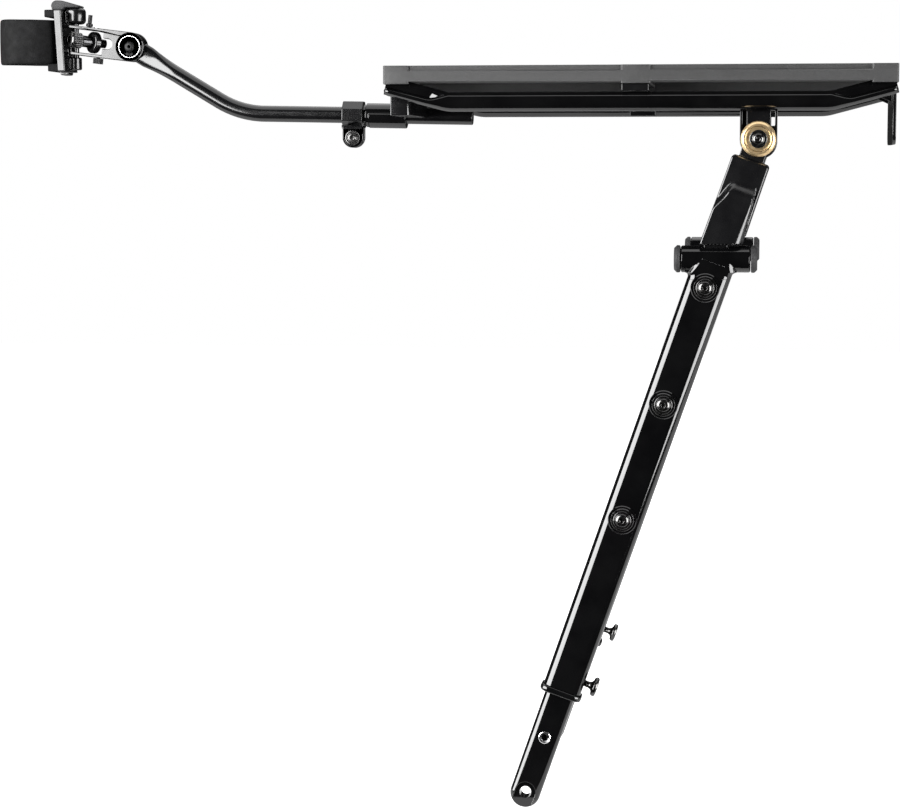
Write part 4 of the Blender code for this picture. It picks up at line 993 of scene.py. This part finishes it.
def head_pivot():
    """Bright ring, domed bolt and nut of the pivot between the arm and the yoke."""
    seat_y = YOKE_HALF_WIDTH - YOKE_SEAT_DEPTH + GAP
    thickness = 1.4 * MM
    inner, outer = 5.6 * MM, 6.2 * MM
    shape = ring([(inner, 0.0), (outer, 0.0), (outer, thickness - 0.25 * MM), (6.02 * MM, thickness),
                  (5.85 * MM, thickness), (inner, thickness - 0.35 * MM)])
    shape = pointing(shape, -ACROSS, -ACROSS * seat_y)
    piece("head_ring", shape, "steel", "yoke", "head_pivot_ring", place=YOKE_PLACE, edge=0.0)
    shank = 2.6 * MM
    bolt = socket_bolt(5.3 * MM, 0.9 * MM, 2.6 * MM, 0.9 * MM, shank, 2 * seat_y + 3.6 * MM, 1.0 * MM)
    bolt = pointing(bolt, -ACROSS, -ACROSS * seat_y)
    piece("head_bolt", bolt, "phosphate", "yoke", "head_pivot_bolt", place=YOKE_PLACE,
          edge=0.12 * MM, slot="black_oxide")
    nut = pointing(hex_nut(4.8 * MM, shank + GAP, 2.4 * MM), ACROSS, ACROSS * seat_y)
    piece("head_nut", nut, "black_oxide", "yoke", "head_pivot_nut", place=YOKE_PLACE)


def tension():
    """Tension screw with a ribbed head that lies slantwise in the window, and its octagonal nut."""
    head_length, head_radius = TENSION_HEAD_LENGTH, TENSION_HEAD_RADIUS
    neck_radius, thread = 3.2 * MM, 2.5 * MM
    neck_end = GAP - TENSION_NECK_LENGTH
    thread_end = -TENSION_NECK_LENGTH - TENSION_NUT_THICKNESS - 5.0 * MM
    chamfer = 0.6 * MM
    shank = [(thread - 0.4 * MM, thread_end)]
    pitch = 0.8 * MM
    turns = int((neck_end - thread_end) / pitch)
    for index in range(turns):
        at = thread_end + pitch * (index + 0.25)
        shank += [(thread, at), (thread - 0.35 * MM, at + pitch / 2)]
    profile = shank + [(thread, neck_end), (neck_radius, neck_end), (neck_radius, -0.8 * MM),
                       (neck_radius + 0.6 * MM, 0.0), (head_radius, 0.0)]
    profile += [(head_radius, head_length - chamfer), (head_radius - chamfer, head_length)]
    screw = turned(profile, 72)
    grooves = []
    count, groove_at, groove_radius = 24, head_radius + 0.15 * MM, 0.42 * MM
    for index in range(count):
        turn = Matrix.Rotation(2 * pi * index / count, 3, "Z")
        start = turn @ Vector((groove_at, 0.0, -0.2 * MM))
        end = turn @ Vector((groove_at, 0.0, head_length - 1.6 * MM))
        grooves.append(rod(start, end, groove_radius, 8))
    key = turned([(2.1 * MM, head_length - 4 * MM), (2.1 * MM, head_length + MM)], 6)
    screw = cut(screw, together(grooves), key)
    screw = pointing(screw, -TENSION_ALONG, TENSION_HEAD_SEAT)
    piece("tension_screw_ribbed", screw, "black_oxide", "yoke", "tension_screw",
          place=YOKE_PLACE, edge=0.12 * MM)
    nut = hex_nut(6.0 * MM, thread + GAP, TENSION_NUT_THICKNESS, 8)
    nut = pointing(nut, TENSION_ALONG, TENSION_NUT_FRONT)
    piece("tension_octagon", nut, "satin_black", "yoke", "tension_nut", place=YOKE_PLACE,
          edge=0.4 * MM)


def knurled(radius, low, high, sides=20):
    """A short knurled drum about Z."""
    outline = []
    for index in range(sides * 2):
        size = radius if index % 2 else radius - 0.3 * MM
        angle = pi * index / sides
        outline.append((size * cos(angle), size * sin(angle)))
    return extrude_z(outline, low, high)


def bar_screws():
    """Small screws that stand in the yoke's bars; heights are from the bar's outer face."""
    tip = YOKE_BAR_INNER + 0.1 * MM - YOKE_HALF_HEIGHT - GAP
    stop = turned([(1.15 * MM, tip), (1.15 * MM, 0.0), (1.9 * MM, 0.0), (1.9 * MM, 1.6 * MM),
                   (1.15 * MM, 1.9 * MM), (1.15 * MM, 6.5 * MM)], 40)
    shank = [(1.1 * MM, tip), (1.1 * MM, 0.2 * MM)]
    lock = weld(turned(shank, 40), knurled(2.0 * MM, 0.0, 3.2 * MM))
    knob = weld(turned(shank, 40), knurled(2.9 * MM, 0.0, 3.1 * MM, 24))
    rows = [("stop_screw", stop, -24.9 * MM, -2.2 * MM, 1, "phosphate"),
            ("lock_screw", lock, -20.9 * MM, -1.6 * MM, 1, "steel"),
            ("clamp_knob", knob, -17.9 * MM, -2.0 * MM, -1, "phosphate")]
    for name, shape, x, y, up, look in rows:
        shape = pointing(shape, (0.0, 0.0, up), (x, y, up * (YOKE_HALF_HEIGHT + GAP)))
        piece(name + "_turned", shape, look, "yoke", name, place=YOKE_PLACE, edge=0.15 * MM,
              slot="black_oxide")


def tension_head_relief():
    """Room for the tension screw's head, where the cradle stands when it is swivelled towards it."""
    into_cradle = Matrix.Rotation(-SWIVEL_LIMIT, 4, "Z") @ SWIVEL_PLACE.inverted() @ YOKE_PLACE
    end = TENSION_HEAD_SEAT - TENSION_ALONG * (TENSION_HEAD_LENGTH + GAP)
    return rod(into_cradle @ TENSION_HEAD_SEAT, into_cradle @ end, TENSION_HEAD_RADIUS + GAP)


def cradle_saddle():
    """Saddle behind the strap: a plate with two rubber lips, a shelf, two barrels and a foot."""
    half_width = 12.8 * MM
    low_z, high_z, flange, plate = 0.6 * MM, 34.6 * MM, 4.1 * MM, 4.3 * MM

    def face(z):
        return -7.3 * MM - 2.0 * MM * (z - low_z) / (high_z - low_z)

    profile = [(face(high_z), high_z), (face(low_z), low_z), (face(low_z) + plate, low_z),
               (face(high_z) + plate, high_z)]
    body = extrude_y(profile, -half_width, half_width)
    upper, lower = BARREL_Z[1], BARREL_Z[0]
    knob_end = 1.8 * MM
    shoulder = SWIVEL_RADIUS - 0.6 * MM
    top_knob = turned([(SWIVEL_RADIUS - knob_end, upper[0]), (shoulder, upper[0] + 0.5 * MM),
                       (SWIVEL_RADIUS, upper[0] + knob_end), (SWIVEL_RADIUS, upper[1] - knob_end),
                       (shoulder, upper[1] - 0.5 * MM), (SWIVEL_RADIUS - knob_end, upper[1])])
    low_knob = moved(turned([(3.6 * MM, lower[0]), (3.6 * MM, lower[1])]), -0.6 * MM, 0.0, 0.0)
    top_web = box((-7.0 * MM, -4.0 * MM, upper[0] + MM), (0.0, 4.0 * MM, upper[1] - 2 * MM))
    low_web = box((-6.0 * MM, -3.0 * MM, lower[0] + 0.6 * MM), (0.0, 3.0 * MM, lower[1] - 0.8 * MM))
    shelf = box((-6.0 * MM, -4.4 * MM, 9.6 * MM), (-1.6 * MM, 4.4 * MM, 14.6 * MM))
    foot = box((-8.0 * MM, -5 * MM, -1.3 * MM), (-3.4 * MM, 5 * MM, 2.0 * MM))
    body = weld(body, top_web, top_knob, low_web, low_knob, shelf, foot)
    body = cut(body, rod((0.0, 0.0, -3 * MM), (0.0, 0.0, 33.4 * MM), SWIVEL_PIN_RADIUS + GAP),
               tension_head_relief())
    piece("cradle_saddle", body, "forged_black", "clamp", "cradle", place=SWIVEL_PLACE, edge=0.7 * MM,
          slot="satin_black")
    for name, front, bottom in (("upper", -14.6 * MM, high_z - flange), ("lower", -13.0 * MM, low_z)):
        lip = [(front, bottom), (face(bottom) + 0.5 * MM, bottom),
               (face(bottom) + 0.2 * MM, bottom + flange), (front, bottom + flange)]
        lip = extrude_y(lip, -half_width + 0.4 * MM, half_width - 0.4 * MM)
        piece("cradle_lip_" + name, lip, "rubber", "clamp", place=SWIVEL_PLACE, edge=0.5 * MM)
    pin = rod((0.0, 0.0, 2.2 * MM), (0.0, 0.0, 33.0 * MM), SWIVEL_PIN_RADIUS)
    piece("swivel_pin_turned", pin, "black_oxide", "clamp", "swivel_pin", place=SWIVEL_PLACE)


def strap_band():
    """Rubber band round the seat post: soft edges and a slightly uneven hand-pulled line."""
    inner, outer = LOOP_RADIUS - STRAP_THICKNESS, LOOP_RADIUS
    low, high = STRAP_Z
    rows, sides = 14, 112
    shape = bmesh.new()
    loops = []
    soft = 0.7 * MM
    flat = high - low - 2 * soft
    profile = [(inner + soft, low), (outer - soft, low)]
    profile += [(outer, low + soft + flat * row / rows) for row in range(rows + 1)]
    profile += [(outer - soft, high), (inner + soft, high)]
    profile += [(inner, high - soft - flat * row / rows) for row in range(rows + 1)]
    for radius, z in profile:
        loop = []
        for index in range(sides):
            angle = 2 * pi * index / sides
            height = (z - low) / (high - low) - 0.5
            sway = 0.22 * MM * sin(3 * angle + 0.7) + 0.12 * MM * sin(7 * angle)
            lift = 0.25 * MM * sin(2 * angle + 0.4) * 2 * height
            crown = 0.25 * MM * (1 - 4 * height * height)
            size = min(radius + sway * 0.5 + crown - 0.2 * MM, LOOP_RADIUS + 0.1 * MM)
            x = size * cos(angle)
            if x > 0.0:
                x = (size + STRAP_REACH) * cos(angle) ** 0.55
            loop.append(shape.verts.new((x, size * sin(angle), z + lift)))
        loops.append(loop)
    for near, far in zip(loops, loops[1:] + loops[:1]):
        for index in range(sides):
            after = (index + 1) % sides
            shape.faces.new((near[index], near[after], far[after], far[index]))
    place = Matrix.Translation((LOOP_X, 0.0, 0.0))
    made = piece("strap_band", shape, "rubber", "clamp", "strap", place=place, edge=0.0, angle=80.0)
    smooth = made.modifiers.new("smooth", "SUBSURF")
    smooth.levels = smooth.render_levels = 1


def tab_cap():
    """Grey plastic cap with a rounded nose on top of the cradle."""
    outline = [(-12.2 * MM, 34.9 * MM), (-6.0 * MM, 34.9 * MM), (-5.0 * MM, 36.2 * MM),
               (3.4 * MM, 36.2 * MM), (3.2 * MM, 37.2 * MM), (-7.0 * MM, 40.1 * MM)]
    outline += arc((-9.6 * MM, 37.0 * MM), 3.2 * MM, pi / 2, pi, 14)
    shape = extrude_y(outline, -5.5 * MM, 5.5 * MM)
    piece("tab_cap", shape, "grey_plastic", "clamp", "strap_tab", place=SWIVEL_PLACE, edge=0.6 * MM)


# ---------------------------------------------------------------- legs

def leg_place(side):
    """The tilted frame of a leg, with its origin at the top pivot and the leg down -Z."""
    pivot = Matrix.Translation((LEG_PIVOT.x, side * LEG_Y, LEG_PIVOT.z))
    return pivot @ Matrix.Rotation(LEG_ANGLE, 4, "Y")


def leg_bar(rows):
    """Loft a leg piece down -Z from (distance, width, thickness, corner) rows."""
    return loft([[Vector((x, y, -distance)) for x, y in rounded_rectangle(width, thickness, corner, 10)]
                 for distance, width, thickness, corner in rows])


def on_barrel(shape):
    """Put a shape made level about the barrel's centre into the leg's tilted frame."""
    shape.transform(Matrix.Translation((0.0, 0.0, -BARREL_S)) @ Matrix.Rotation(-LEG_ANGLE, 4, "Y"))
    return shape


def barrel_rod(radius, half_length, sides=64):
    """A round bar along the barrel's level axis."""
    return on_barrel(rod((-half_length, 0.0, 0.0), (half_length, 0.0, 0.0), radius, sides))


def hanger_plate(side, word):
    """Flanged plate under a rail for the leg pivot: two thin side strips and a middle block."""
    inner_y, web_y, block_y, rim_y = (side * y * MM for y in (66.2, 68.4, 67.5, 71.2))
    far_y = side * 80 * MM
    x, z = LEG_PIVOT.x, LEG_PIVOT.z
    radius, rim, block_half, hub_radius = 9.6 * MM, 1.3 * MM, 6.1 * MM, 6.6 * MM
    top = RAIL_Z - 1.0 * MM
    window_low, window_high = z + 6.9 * MM, RAIL_Z - RAIL_RADIUS - 0.5 * MM

    def plate_shape(half, upper, low_y, high_y):
        outline = arc((x, z), half, -pi, 0.0, 36) + [(x + half, upper), (x - half, upper)]
        return extrude_y(outline, min(low_y, high_y), max(low_y, high_y))

    plate = cut(plate_shape(radius, top, inner_y, rim_y), plate_shape(radius - rim, 0.0, web_y, far_y))
    low, high = sorted((block_y, rim_y))
    plate = weld(plate, box((x - block_half, low, z + 5.0 * MM), (x + block_half, high, top)),
                 cross_rod(x, z, block_y, rim_y, hub_radius))
    plate = cut(plate, box((x + block_half, min(0.0, far_y), window_low),
                           (x + radius - rim, max(0.0, far_y), window_high)))
    plate = cut(plate, rail_bar(side, RAIL_RADIUS + GAP, RAIL_END_X),
                cross_rod(x, z, side * 60 * MM, side * 90 * MM, PIVOT_BORE))
    piece("hanger_plate_" + word, plate, "satin_black", "rack", "hanger_" + word)


def pivot_set(side, word):
    """Brass bush with a stepped, chamfered rim, and the domed bolt of a leg's top pivot."""
    out = ACROSS * side
    place = Matrix.Translation((LEG_PIVOT.x, side * 79.7 * MM, LEG_PIVOT.z))
    step = 3.3 * MM
    profile = [(PIVOT_BORE, 0.0), (8.4 * MM, 0.0), (9.1 * MM, 0.7 * MM), (9.1 * MM, 2.3 * MM),
               (8.75 * MM, 2.75 * MM), (8.75 * MM, 3.0 * MM), (7.7 * MM, 4.05 * MM), (6.6 * MM, 4.1 * MM),
               (6.3 * MM, step), (PIVOT_BORE, step)]
    piece("brass_bush_" + word, pointing(ring(profile, 96), out), "brass", "rack", "pivot_bush_" + word,
          place=place, edge=0.15 * MM, angle=20.0)
    bolt = socket_bolt(4.65 * MM, 1.3 * MM, 2.9 * MM, 1.2 * MM, 2.6 * MM, 21.0 * MM, 1.1 * MM)
    piece("pivot_screw_" + word, pointing(bolt, out, out * (step + GAP)), "black_oxide", "rack",
          "pivot_bolt_" + word, place=place)


def edge_drop(across, half, corner):
    """How far a face has rounded away at a distance across a bar."""
    short = corner - (half - abs(across))
    return corner - sqrt(max(corner * corner - short * short, 0.0)) if short > 0.0 else 0.0


def between(rows, value):
    """Straight-line reading of a table of (value, result) rows."""
    for (start, first), (end, last) in zip(rows, rows[1:]):
        if value <= end:
            return first + (last - first) * max(value - start, 0.0) / (end - start)
    return rows[-1][1]


def link_body():
    """Flat tab that swells into a pad with a sloping top; made for the left side, which faces -Y."""
    top, bottom = 11.0 * MM, BARREL_S
    back, front, proud = 4.4 * MM, 3.4 * MM, LEG_THICKNESS / 2
    left_edge = [(23.0 * MM, -5.0 * MM), (26.0 * MM, -6.6 * MM), (34.0 * MM, -9.4 * MM),
                 (42.0 * MM, -13.5 * MM), (66.0 * MM, -16.0 * MM)]
    right_edge = [(23.0 * MM, 7.0 * MM), (26.0 * MM, 7.6 * MM), (36.0 * MM, 8.6 * MM),
                  (56.0 * MM, 10.3 * MM), (66.0 * MM, 10.6 * MM)]
    columns, rows = 72, 90
    sections = []
    for row in range(rows + 1):
        distance = top + (bottom - top) * row / rows
        half = 9.9 * MM + 0.5 * MM * smooth_share(distance, top, bottom)
        half -= edge_drop(0.0, distance - top + 0.3 * MM, 2.6 * MM)
        roll = edge_drop(0.0, distance - top + 1.2 * MM, 3.6 * MM)
        swell = smooth_share(distance, SHOULDER_S, SHOULDER_S + 9 * MM)
        right = min(between(right_edge, distance), half)
        rounding = min(max((distance - 31 * MM) / (25 * MM), 0.0), 1.0)
        right_corner = 0.8 * MM + (LEG_CORNER - 0.8 * MM) * rounding
        outer, inner = [], []
        for column in range(columns + 1):
            across = half * sin(pi * (column / columns - 0.5))
            plate = front - roll - edge_drop(across, half, 0.9 * MM)
            full = proud - edge_drop(across, half, 1.0 * MM)
            if across > 0.0:
                full = proud - edge_drop(across, right, right_corner) if across < right else -proud
            mask = smooth_share(distance, SHOULDER_S - 0.4 * MM, SHOULDER_S + 7.2 * MM)
            mask *= smooth_share(across - between(left_edge, distance), 0.0, 3.4 * MM)
            outer.append(Vector((across, -plate - max(full - plate, 0.0) * mask, -distance)))
            reach = back + (proud - back) * swell
            corner = 2.4 * MM + (LEG_CORNER - 2.4 * MM) * swell
            inner.append(Vector((across, reach - roll / 2 - edge_drop(across, half, corner), -distance)))
        sections.append(outer + inner[::-1])
    return loft(sections)


def upper_link(side, word):
    """Forged top link between the pivot under the deck and the barrel."""
    back, front = 4.4 * MM, -3.4 * MM
    neck = box((-6.5 * MM, -1.4 * MM, -13 * MM), (6.5 * MM, back, 0.0))
    link = weld(link_body(), neck, cross_rod(0.0, 0.0, front, back, 8.2 * MM, 56))
    clearance = BARREL_RADIUS + 0.5 * MM
    link = cut(link, on_barrel(box((-40 * MM, -20 * MM, -40 * MM), (40 * MM, 20 * MM, clearance))),
               cross_rod(0.0, 0.0, -9 * MM, 9 * MM, PIVOT_BORE))
    tongue = on_barrel(box((-6.0 * MM, -2.0 * MM, 0.0), (6.0 * MM, 2.0 * MM, clearance + MM)))
    link = weld(link, tongue, barrel_rod(BARREL_BORE - GAP, 6.0 * MM))
    link = cut(link, barrel_rod(PIN_RADIUS + GAP, 10 * MM))
    if side == RIGHT:
        link.transform(Matrix.Scale(-1.0, 4, ACROSS))
    piece("upper_link_" + word, link, "forged_black", "upper_leg_" + word, "upper_leg_" + word,
          place=leg_place(side), edge=0.4 * MM, slot="gloss_black")


def tube_flare():
    """The tube's top, flared in a fillet where it is welded under the level barrel."""
    fillet, start, step = 2.4 * MM, 1.2 * MM, 0.4 * MM
    level_width = LEG_WIDTH / cos(LEG_ANGLE) - 0.06 * MM
    sections = []
    for index in range(24):
        depth = start + index * step
        short = min(max(fillet - (depth - BARREL_RADIUS), 0.0), fillet)
        extra = fillet - sqrt(max(fillet * fillet - short * short, 0.0))
        if depth < BARREL_RADIUS:
            extra = fillet * (depth / BARREL_RADIUS) ** 2
        thickness = 13.2 * MM + 0.74 * MM * smooth_share(depth, start, start + 1.6 * MM)
        outline = rounded_rectangle(level_width + 2 * extra, thickness, LEG_CORNER, 10)
        middle = -depth * tan(LEG_ANGLE)
        sections.append([Vector((middle + x, y, -depth)) for x, y in outline])
    return on_barrel(loft(sections))


def outer_tube(side, word):
    """Outer tube with the level barrel across its top, three bolt holes and one for the hand screw."""
    bottom = OUTER_END_S
    taper = 0.6 * MM
    body = "outer_leg_" + word
    tube = leg_bar([(BARREL_S + 2 * MM, LEG_WIDTH, LEG_THICKNESS, LEG_CORNER),
                    (bottom, LEG_WIDTH - taper, LEG_THICKNESS, LEG_CORNER)])
    chamfer = 0.6 * MM
    barrel_half = BARREL_HALF_LENGTH
    barrel = turned([(BARREL_RADIUS - chamfer, -barrel_half), (BARREL_RADIUS, chamfer - barrel_half),
                     (BARREL_RADIUS, barrel_half - chamfer), (BARREL_RADIUS - chamfer, barrel_half)])
    tube = weld(tube, tube_flare(), on_barrel(pointing(barrel, (1.0, 0.0, 0.0))))
    inside = (LEG_WIDTH - 2 * LEG_WALL, LEG_THICKNESS - 2 * LEG_WALL, LEG_CORNER - LEG_WALL)
    tube = cut(tube, leg_bar([(BARREL_S + 10 * MM, *inside), (bottom + 3 * MM, *inside)]),
               barrel_rod(BARREL_BORE, barrel_half + 5 * MM),
               on_barrel(box((-6.8 * MM, -4.2 * MM, 0.0), (6.8 * MM, 4.2 * MM, 12 * MM))))
    face, depth, hole_radius = side * LEG_THICKNESS / 2, side * 5 * MM, 2.8 * MM
    for distance in CAGE_BOLT_S:
        tube = cut(tube, cross_rod(0.0, -distance, face - depth, face + depth, hole_radius))
    screw_z = -THUMB_SCREW_S
    tube = cut(tube, rod((5 * MM, 0.0, screw_z), (15 * MM, 0.0, screw_z), 2.0 * MM))
    piece("outer_tube_" + word, tube, "gloss_black", body, body, place=leg_place(side), edge=0.12 * MM)


def barrel_set(side, word):
    """Pin inside the barrel and the two plastic end caps."""
    place, body = leg_place(side), "outer_leg_" + word
    piece("splay_rod_" + word, barrel_rod(PIN_RADIUS, BARREL_HALF_LENGTH - MM), "black_oxide", body,
          "splay_pin_" + word, place=place)
    radius = BARREL_RADIUS + 0.15 * MM
    profile = [(radius - 0.5 * MM, 0.0), (radius, 0.4 * MM), (radius, CAP_THICKNESS * 0.55),
               (radius - 1.4 * MM, CAP_THICKNESS), (2.6 * MM, CAP_THICKNESS),
               (2.3 * MM, CAP_THICKNESS - 0.5 * MM)]
    for sign, end in ((-1, "front"), (1, "rear")):
        seat = (sign * (BARREL_HALF_LENGTH + GAP), 0.0, 0.0)
        cap = on_barrel(pointing(turned(profile), (sign, 0.0, 0.0), seat))
        name = "cap_%s_%s" % (end, word)
        piece("end_" + name, cap, "grey_plastic", body, "barrel_" + name, place=place, edge=0.2 * MM)


def cage_bolts(side, word):
    """Three bolts in a row on the outer tube, each with a washer on a raised, rimmed seat."""
    face = LEG_THICKNESS / 2
    out, body = ACROSS * side, "outer_leg_" + word
    seat_bore, seat_radius, seat_top = 2.9 * MM, 7.5 * MM, 0.5 * MM
    seat_profile = [(seat_bore, -0.8 * MM), (seat_radius, -0.8 * MM), (seat_radius, 0.45 * MM),
                    (7.1 * MM, 0.85 * MM), (6.8 * MM, 0.85 * MM), (6.5 * MM, seat_top), (seat_bore, seat_top)]
    bore, radius, under, top = 2.8 * MM, 6.1 * MM, 0.55 * MM, 1.15 * MM
    washer_profile = [(bore, under), (radius, under), (radius, 0.8 * MM), (5.75 * MM, top), (bore, top)]
    for number, distance in enumerate(CAGE_BOLT_S, 1):
        name = "%s_%d" % (word, number)
        place = leg_place(side) @ Matrix.Translation((0.0, side * face, -distance))
        seat = pointing(ring(seat_profile, 72), out)
        piece("bolt_seat_" + name, seat, "gloss_black", body, place=place, edge=0.0, angle=25.0)
        washer = pointing(ring(washer_profile, 72), out)
        piece("washer_" + name, washer, "black_oxide", body, "cage_washer_" + name, place=place,
              edge=0.0, angle=25.0)
        bolt = socket_bolt(4.8 * MM, 0.9 * MM, 3.6 * MM, 1.4 * MM, 2.5 * MM, 6.5 * MM, 1.3 * MM)
        piece("button_bolt_" + name, pointing(bolt, out, out * 1.2 * MM), "black_oxide", body,
              "cage_bolt_" + name, place=place, edge=0.15 * MM)


def tube_band(side, word):
    """Band with a rounded outside at the outer tube's lower end, open for the inner leg."""
    low, high = BAND_S
    grow, lip, steps = 1.7 * MM, 0.8 * MM, 6
    rows = []
    for step in range(steps + 1):
        angle = pi * step / steps
        out_by = 2 * lip * (1 - sin(angle))
        rows.append(((low + high) / 2 - cos(angle) * (high - low) / 2, LEG_WIDTH + grow - out_by,
                     LEG_THICKNESS + grow - out_by, LEG_CORNER - out_by / 2))
    hole = (INNER_WIDTH + 2 * GAP, INNER_THICKNESS + 2 * GAP, INNER_CORNER + GAP)
    band = cut(leg_bar(rows), leg_bar([(low - 2 * MM, *hole), (high + 2 * MM, *hole)]))
    piece("tube_band_" + word, band, "gloss_black", "outer_leg_" + word, "leg_band_" + word,
          place=leg_place(side), edge=0.0, angle=60.0)


def hand_screw(side, word):
    """Thumb screw on the rear face that locks the inner leg: thin disc on a flared neck."""
    tip = INNER_WIDTH / 2 + GAP
    neck, disc = 1.7 * MM, 5.2 * MM
    profile = [(1.4 * MM, tip), (neck, tip + 0.4 * MM), (neck, 12.4 * MM), (2.1 * MM, 13.6 * MM),
               (3.0 * MM, 14.3 * MM), (4.5 * MM, 14.6 * MM), (5.15 * MM, 15.2 * MM), (disc, 16.4 * MM),
               (4.7 * MM, 17.1 * MM), (2.5 * MM, 17.4 * MM)]
    place = leg_place(side) @ Matrix.Translation((0.0, 0.0, -THUMB_SCREW_S))
    body = "thumb_screw_" + word
    piece("hand_screw_" + word, pointing(turned(profile), (1.0, 0.0, 0.0)), "black_oxide", body, body,
          place=place, edge=0.2 * MM, angle=40.0)


def inner_bar(side, word):
    """Inner bar with a round end, a through eyelet and a spot face open at the end."""
    half, steps = INNER_THICKNESS / 2, 10
    end_s = EYELET_S + 0.8 * MM
    body = "inner_leg_" + word
    sections = []
    for turn in [pi * index / (2 * steps) for index in range(2 * steps + 1)]:
        inset = INNER_CORNER * (1 - sin(turn))
        level = -(half - INNER_CORNER) if turn < pi / 2 else half - INNER_CORNER
        y = level - INNER_CORNER * cos(turn)
        reach, top = INNER_WIDTH / 2 - inset, -INNER_TOP_S - inset
        outline = arc((0.0, -end_s), reach, -pi, 0.0, 48) + [(reach, top), (-reach, top)]
        sections.append([Vector((x, y, z)) for x, z in outline])
        if turn == pi / 2:
            sections.append([Vector((x, half - INNER_CORNER, z)) for x, z in outline])
    boss_radius, boss_face = 6.9 * MM, -side * (half + 0.5 * MM)
    bar = weld(loft(sections), cross_rod(0.0, -EYELET_S, 0.0, boss_face, boss_radius, 64))
    spot_radius, below = 5.5 * MM, -EYELET_S - 12 * MM
    spot = arc((0.0, -EYELET_S), spot_radius, 0.0, pi, 28) + [(-spot_radius, below), (spot_radius, below)]
    low_y, high_y = sorted((side * (half - 1.6 * MM), side * (half + 2 * MM)))
    nut_low, nut_high, nut_radius = side * (half - 3.5 * MM), side * (half + MM), 2.5 * MM
    bar = cut(bar, extrude_y(spot, low_y, high_y),
              cross_rod(0.0, -EYELET_S, -10 * MM, 10 * MM, EYELET_RADIUS),
              cross_rod(0.0, -RIVET_NUT_S, nut_low, nut_high, nut_radius))
    piece("inner_bar_" + word, bar, "gloss_black", body, body, place=leg_place(side), edge=0.3 * MM)


def thread_insert(side, word):
    """Bright threaded insert in the inner bar, with a thin flange outside."""
    base = INNER_THICKNESS / 2 - 3.2 * MM
    low, high = 3.4 * MM, 3.9 * MM
    bore, barrel, flange = 1.6 * MM, 2.2 * MM, 3.2 * MM
    profile = [(bore, 0.0), (barrel, 0.0), (barrel, low), (flange, low), (flange, high - 0.2 * MM),
               (2.9 * MM, high), (2.0 * MM, high - 0.2 * MM), (bore, high - 0.9 * MM)]
    place = leg_place(side) @ Matrix.Translation((0.0, side * base, -RIVET_NUT_S))
    piece("thread_insert_" + word, pointing(ring(profile), ACROSS * side), "steel",
          "inner_leg_" + word, "rivet_nut_" + word, place=place, edge=0.0)


def leg(side, word):
    """One complete leg."""
    hanger_plate(side, word)
    pivot_set(side, word)
    upper_link(side, word)
    outer_tube(side, word)
    barrel_set(side, word)
    cage_bolts(side, word)
    tube_band(side, word)
    hand_screw(side, word)
    inner_bar(side, word)
    thread_insert(side, word)


def rack():
    """Every piece of the rack."""
    deck_moulding()
    side_rails()
    crossbar()
    middle_bar()
    lamp_plate()
    sleeve_tube()
    collar()
    support_arm()
    yoke_block()
    head_pivot()
    tension()
    bar_screws()
    cradle_saddle()
    strap_band()
    tab_cap()
    for side, word in SIDES.items():
        leg(side, word)


dress_cad_nodes()
rack()
studio()
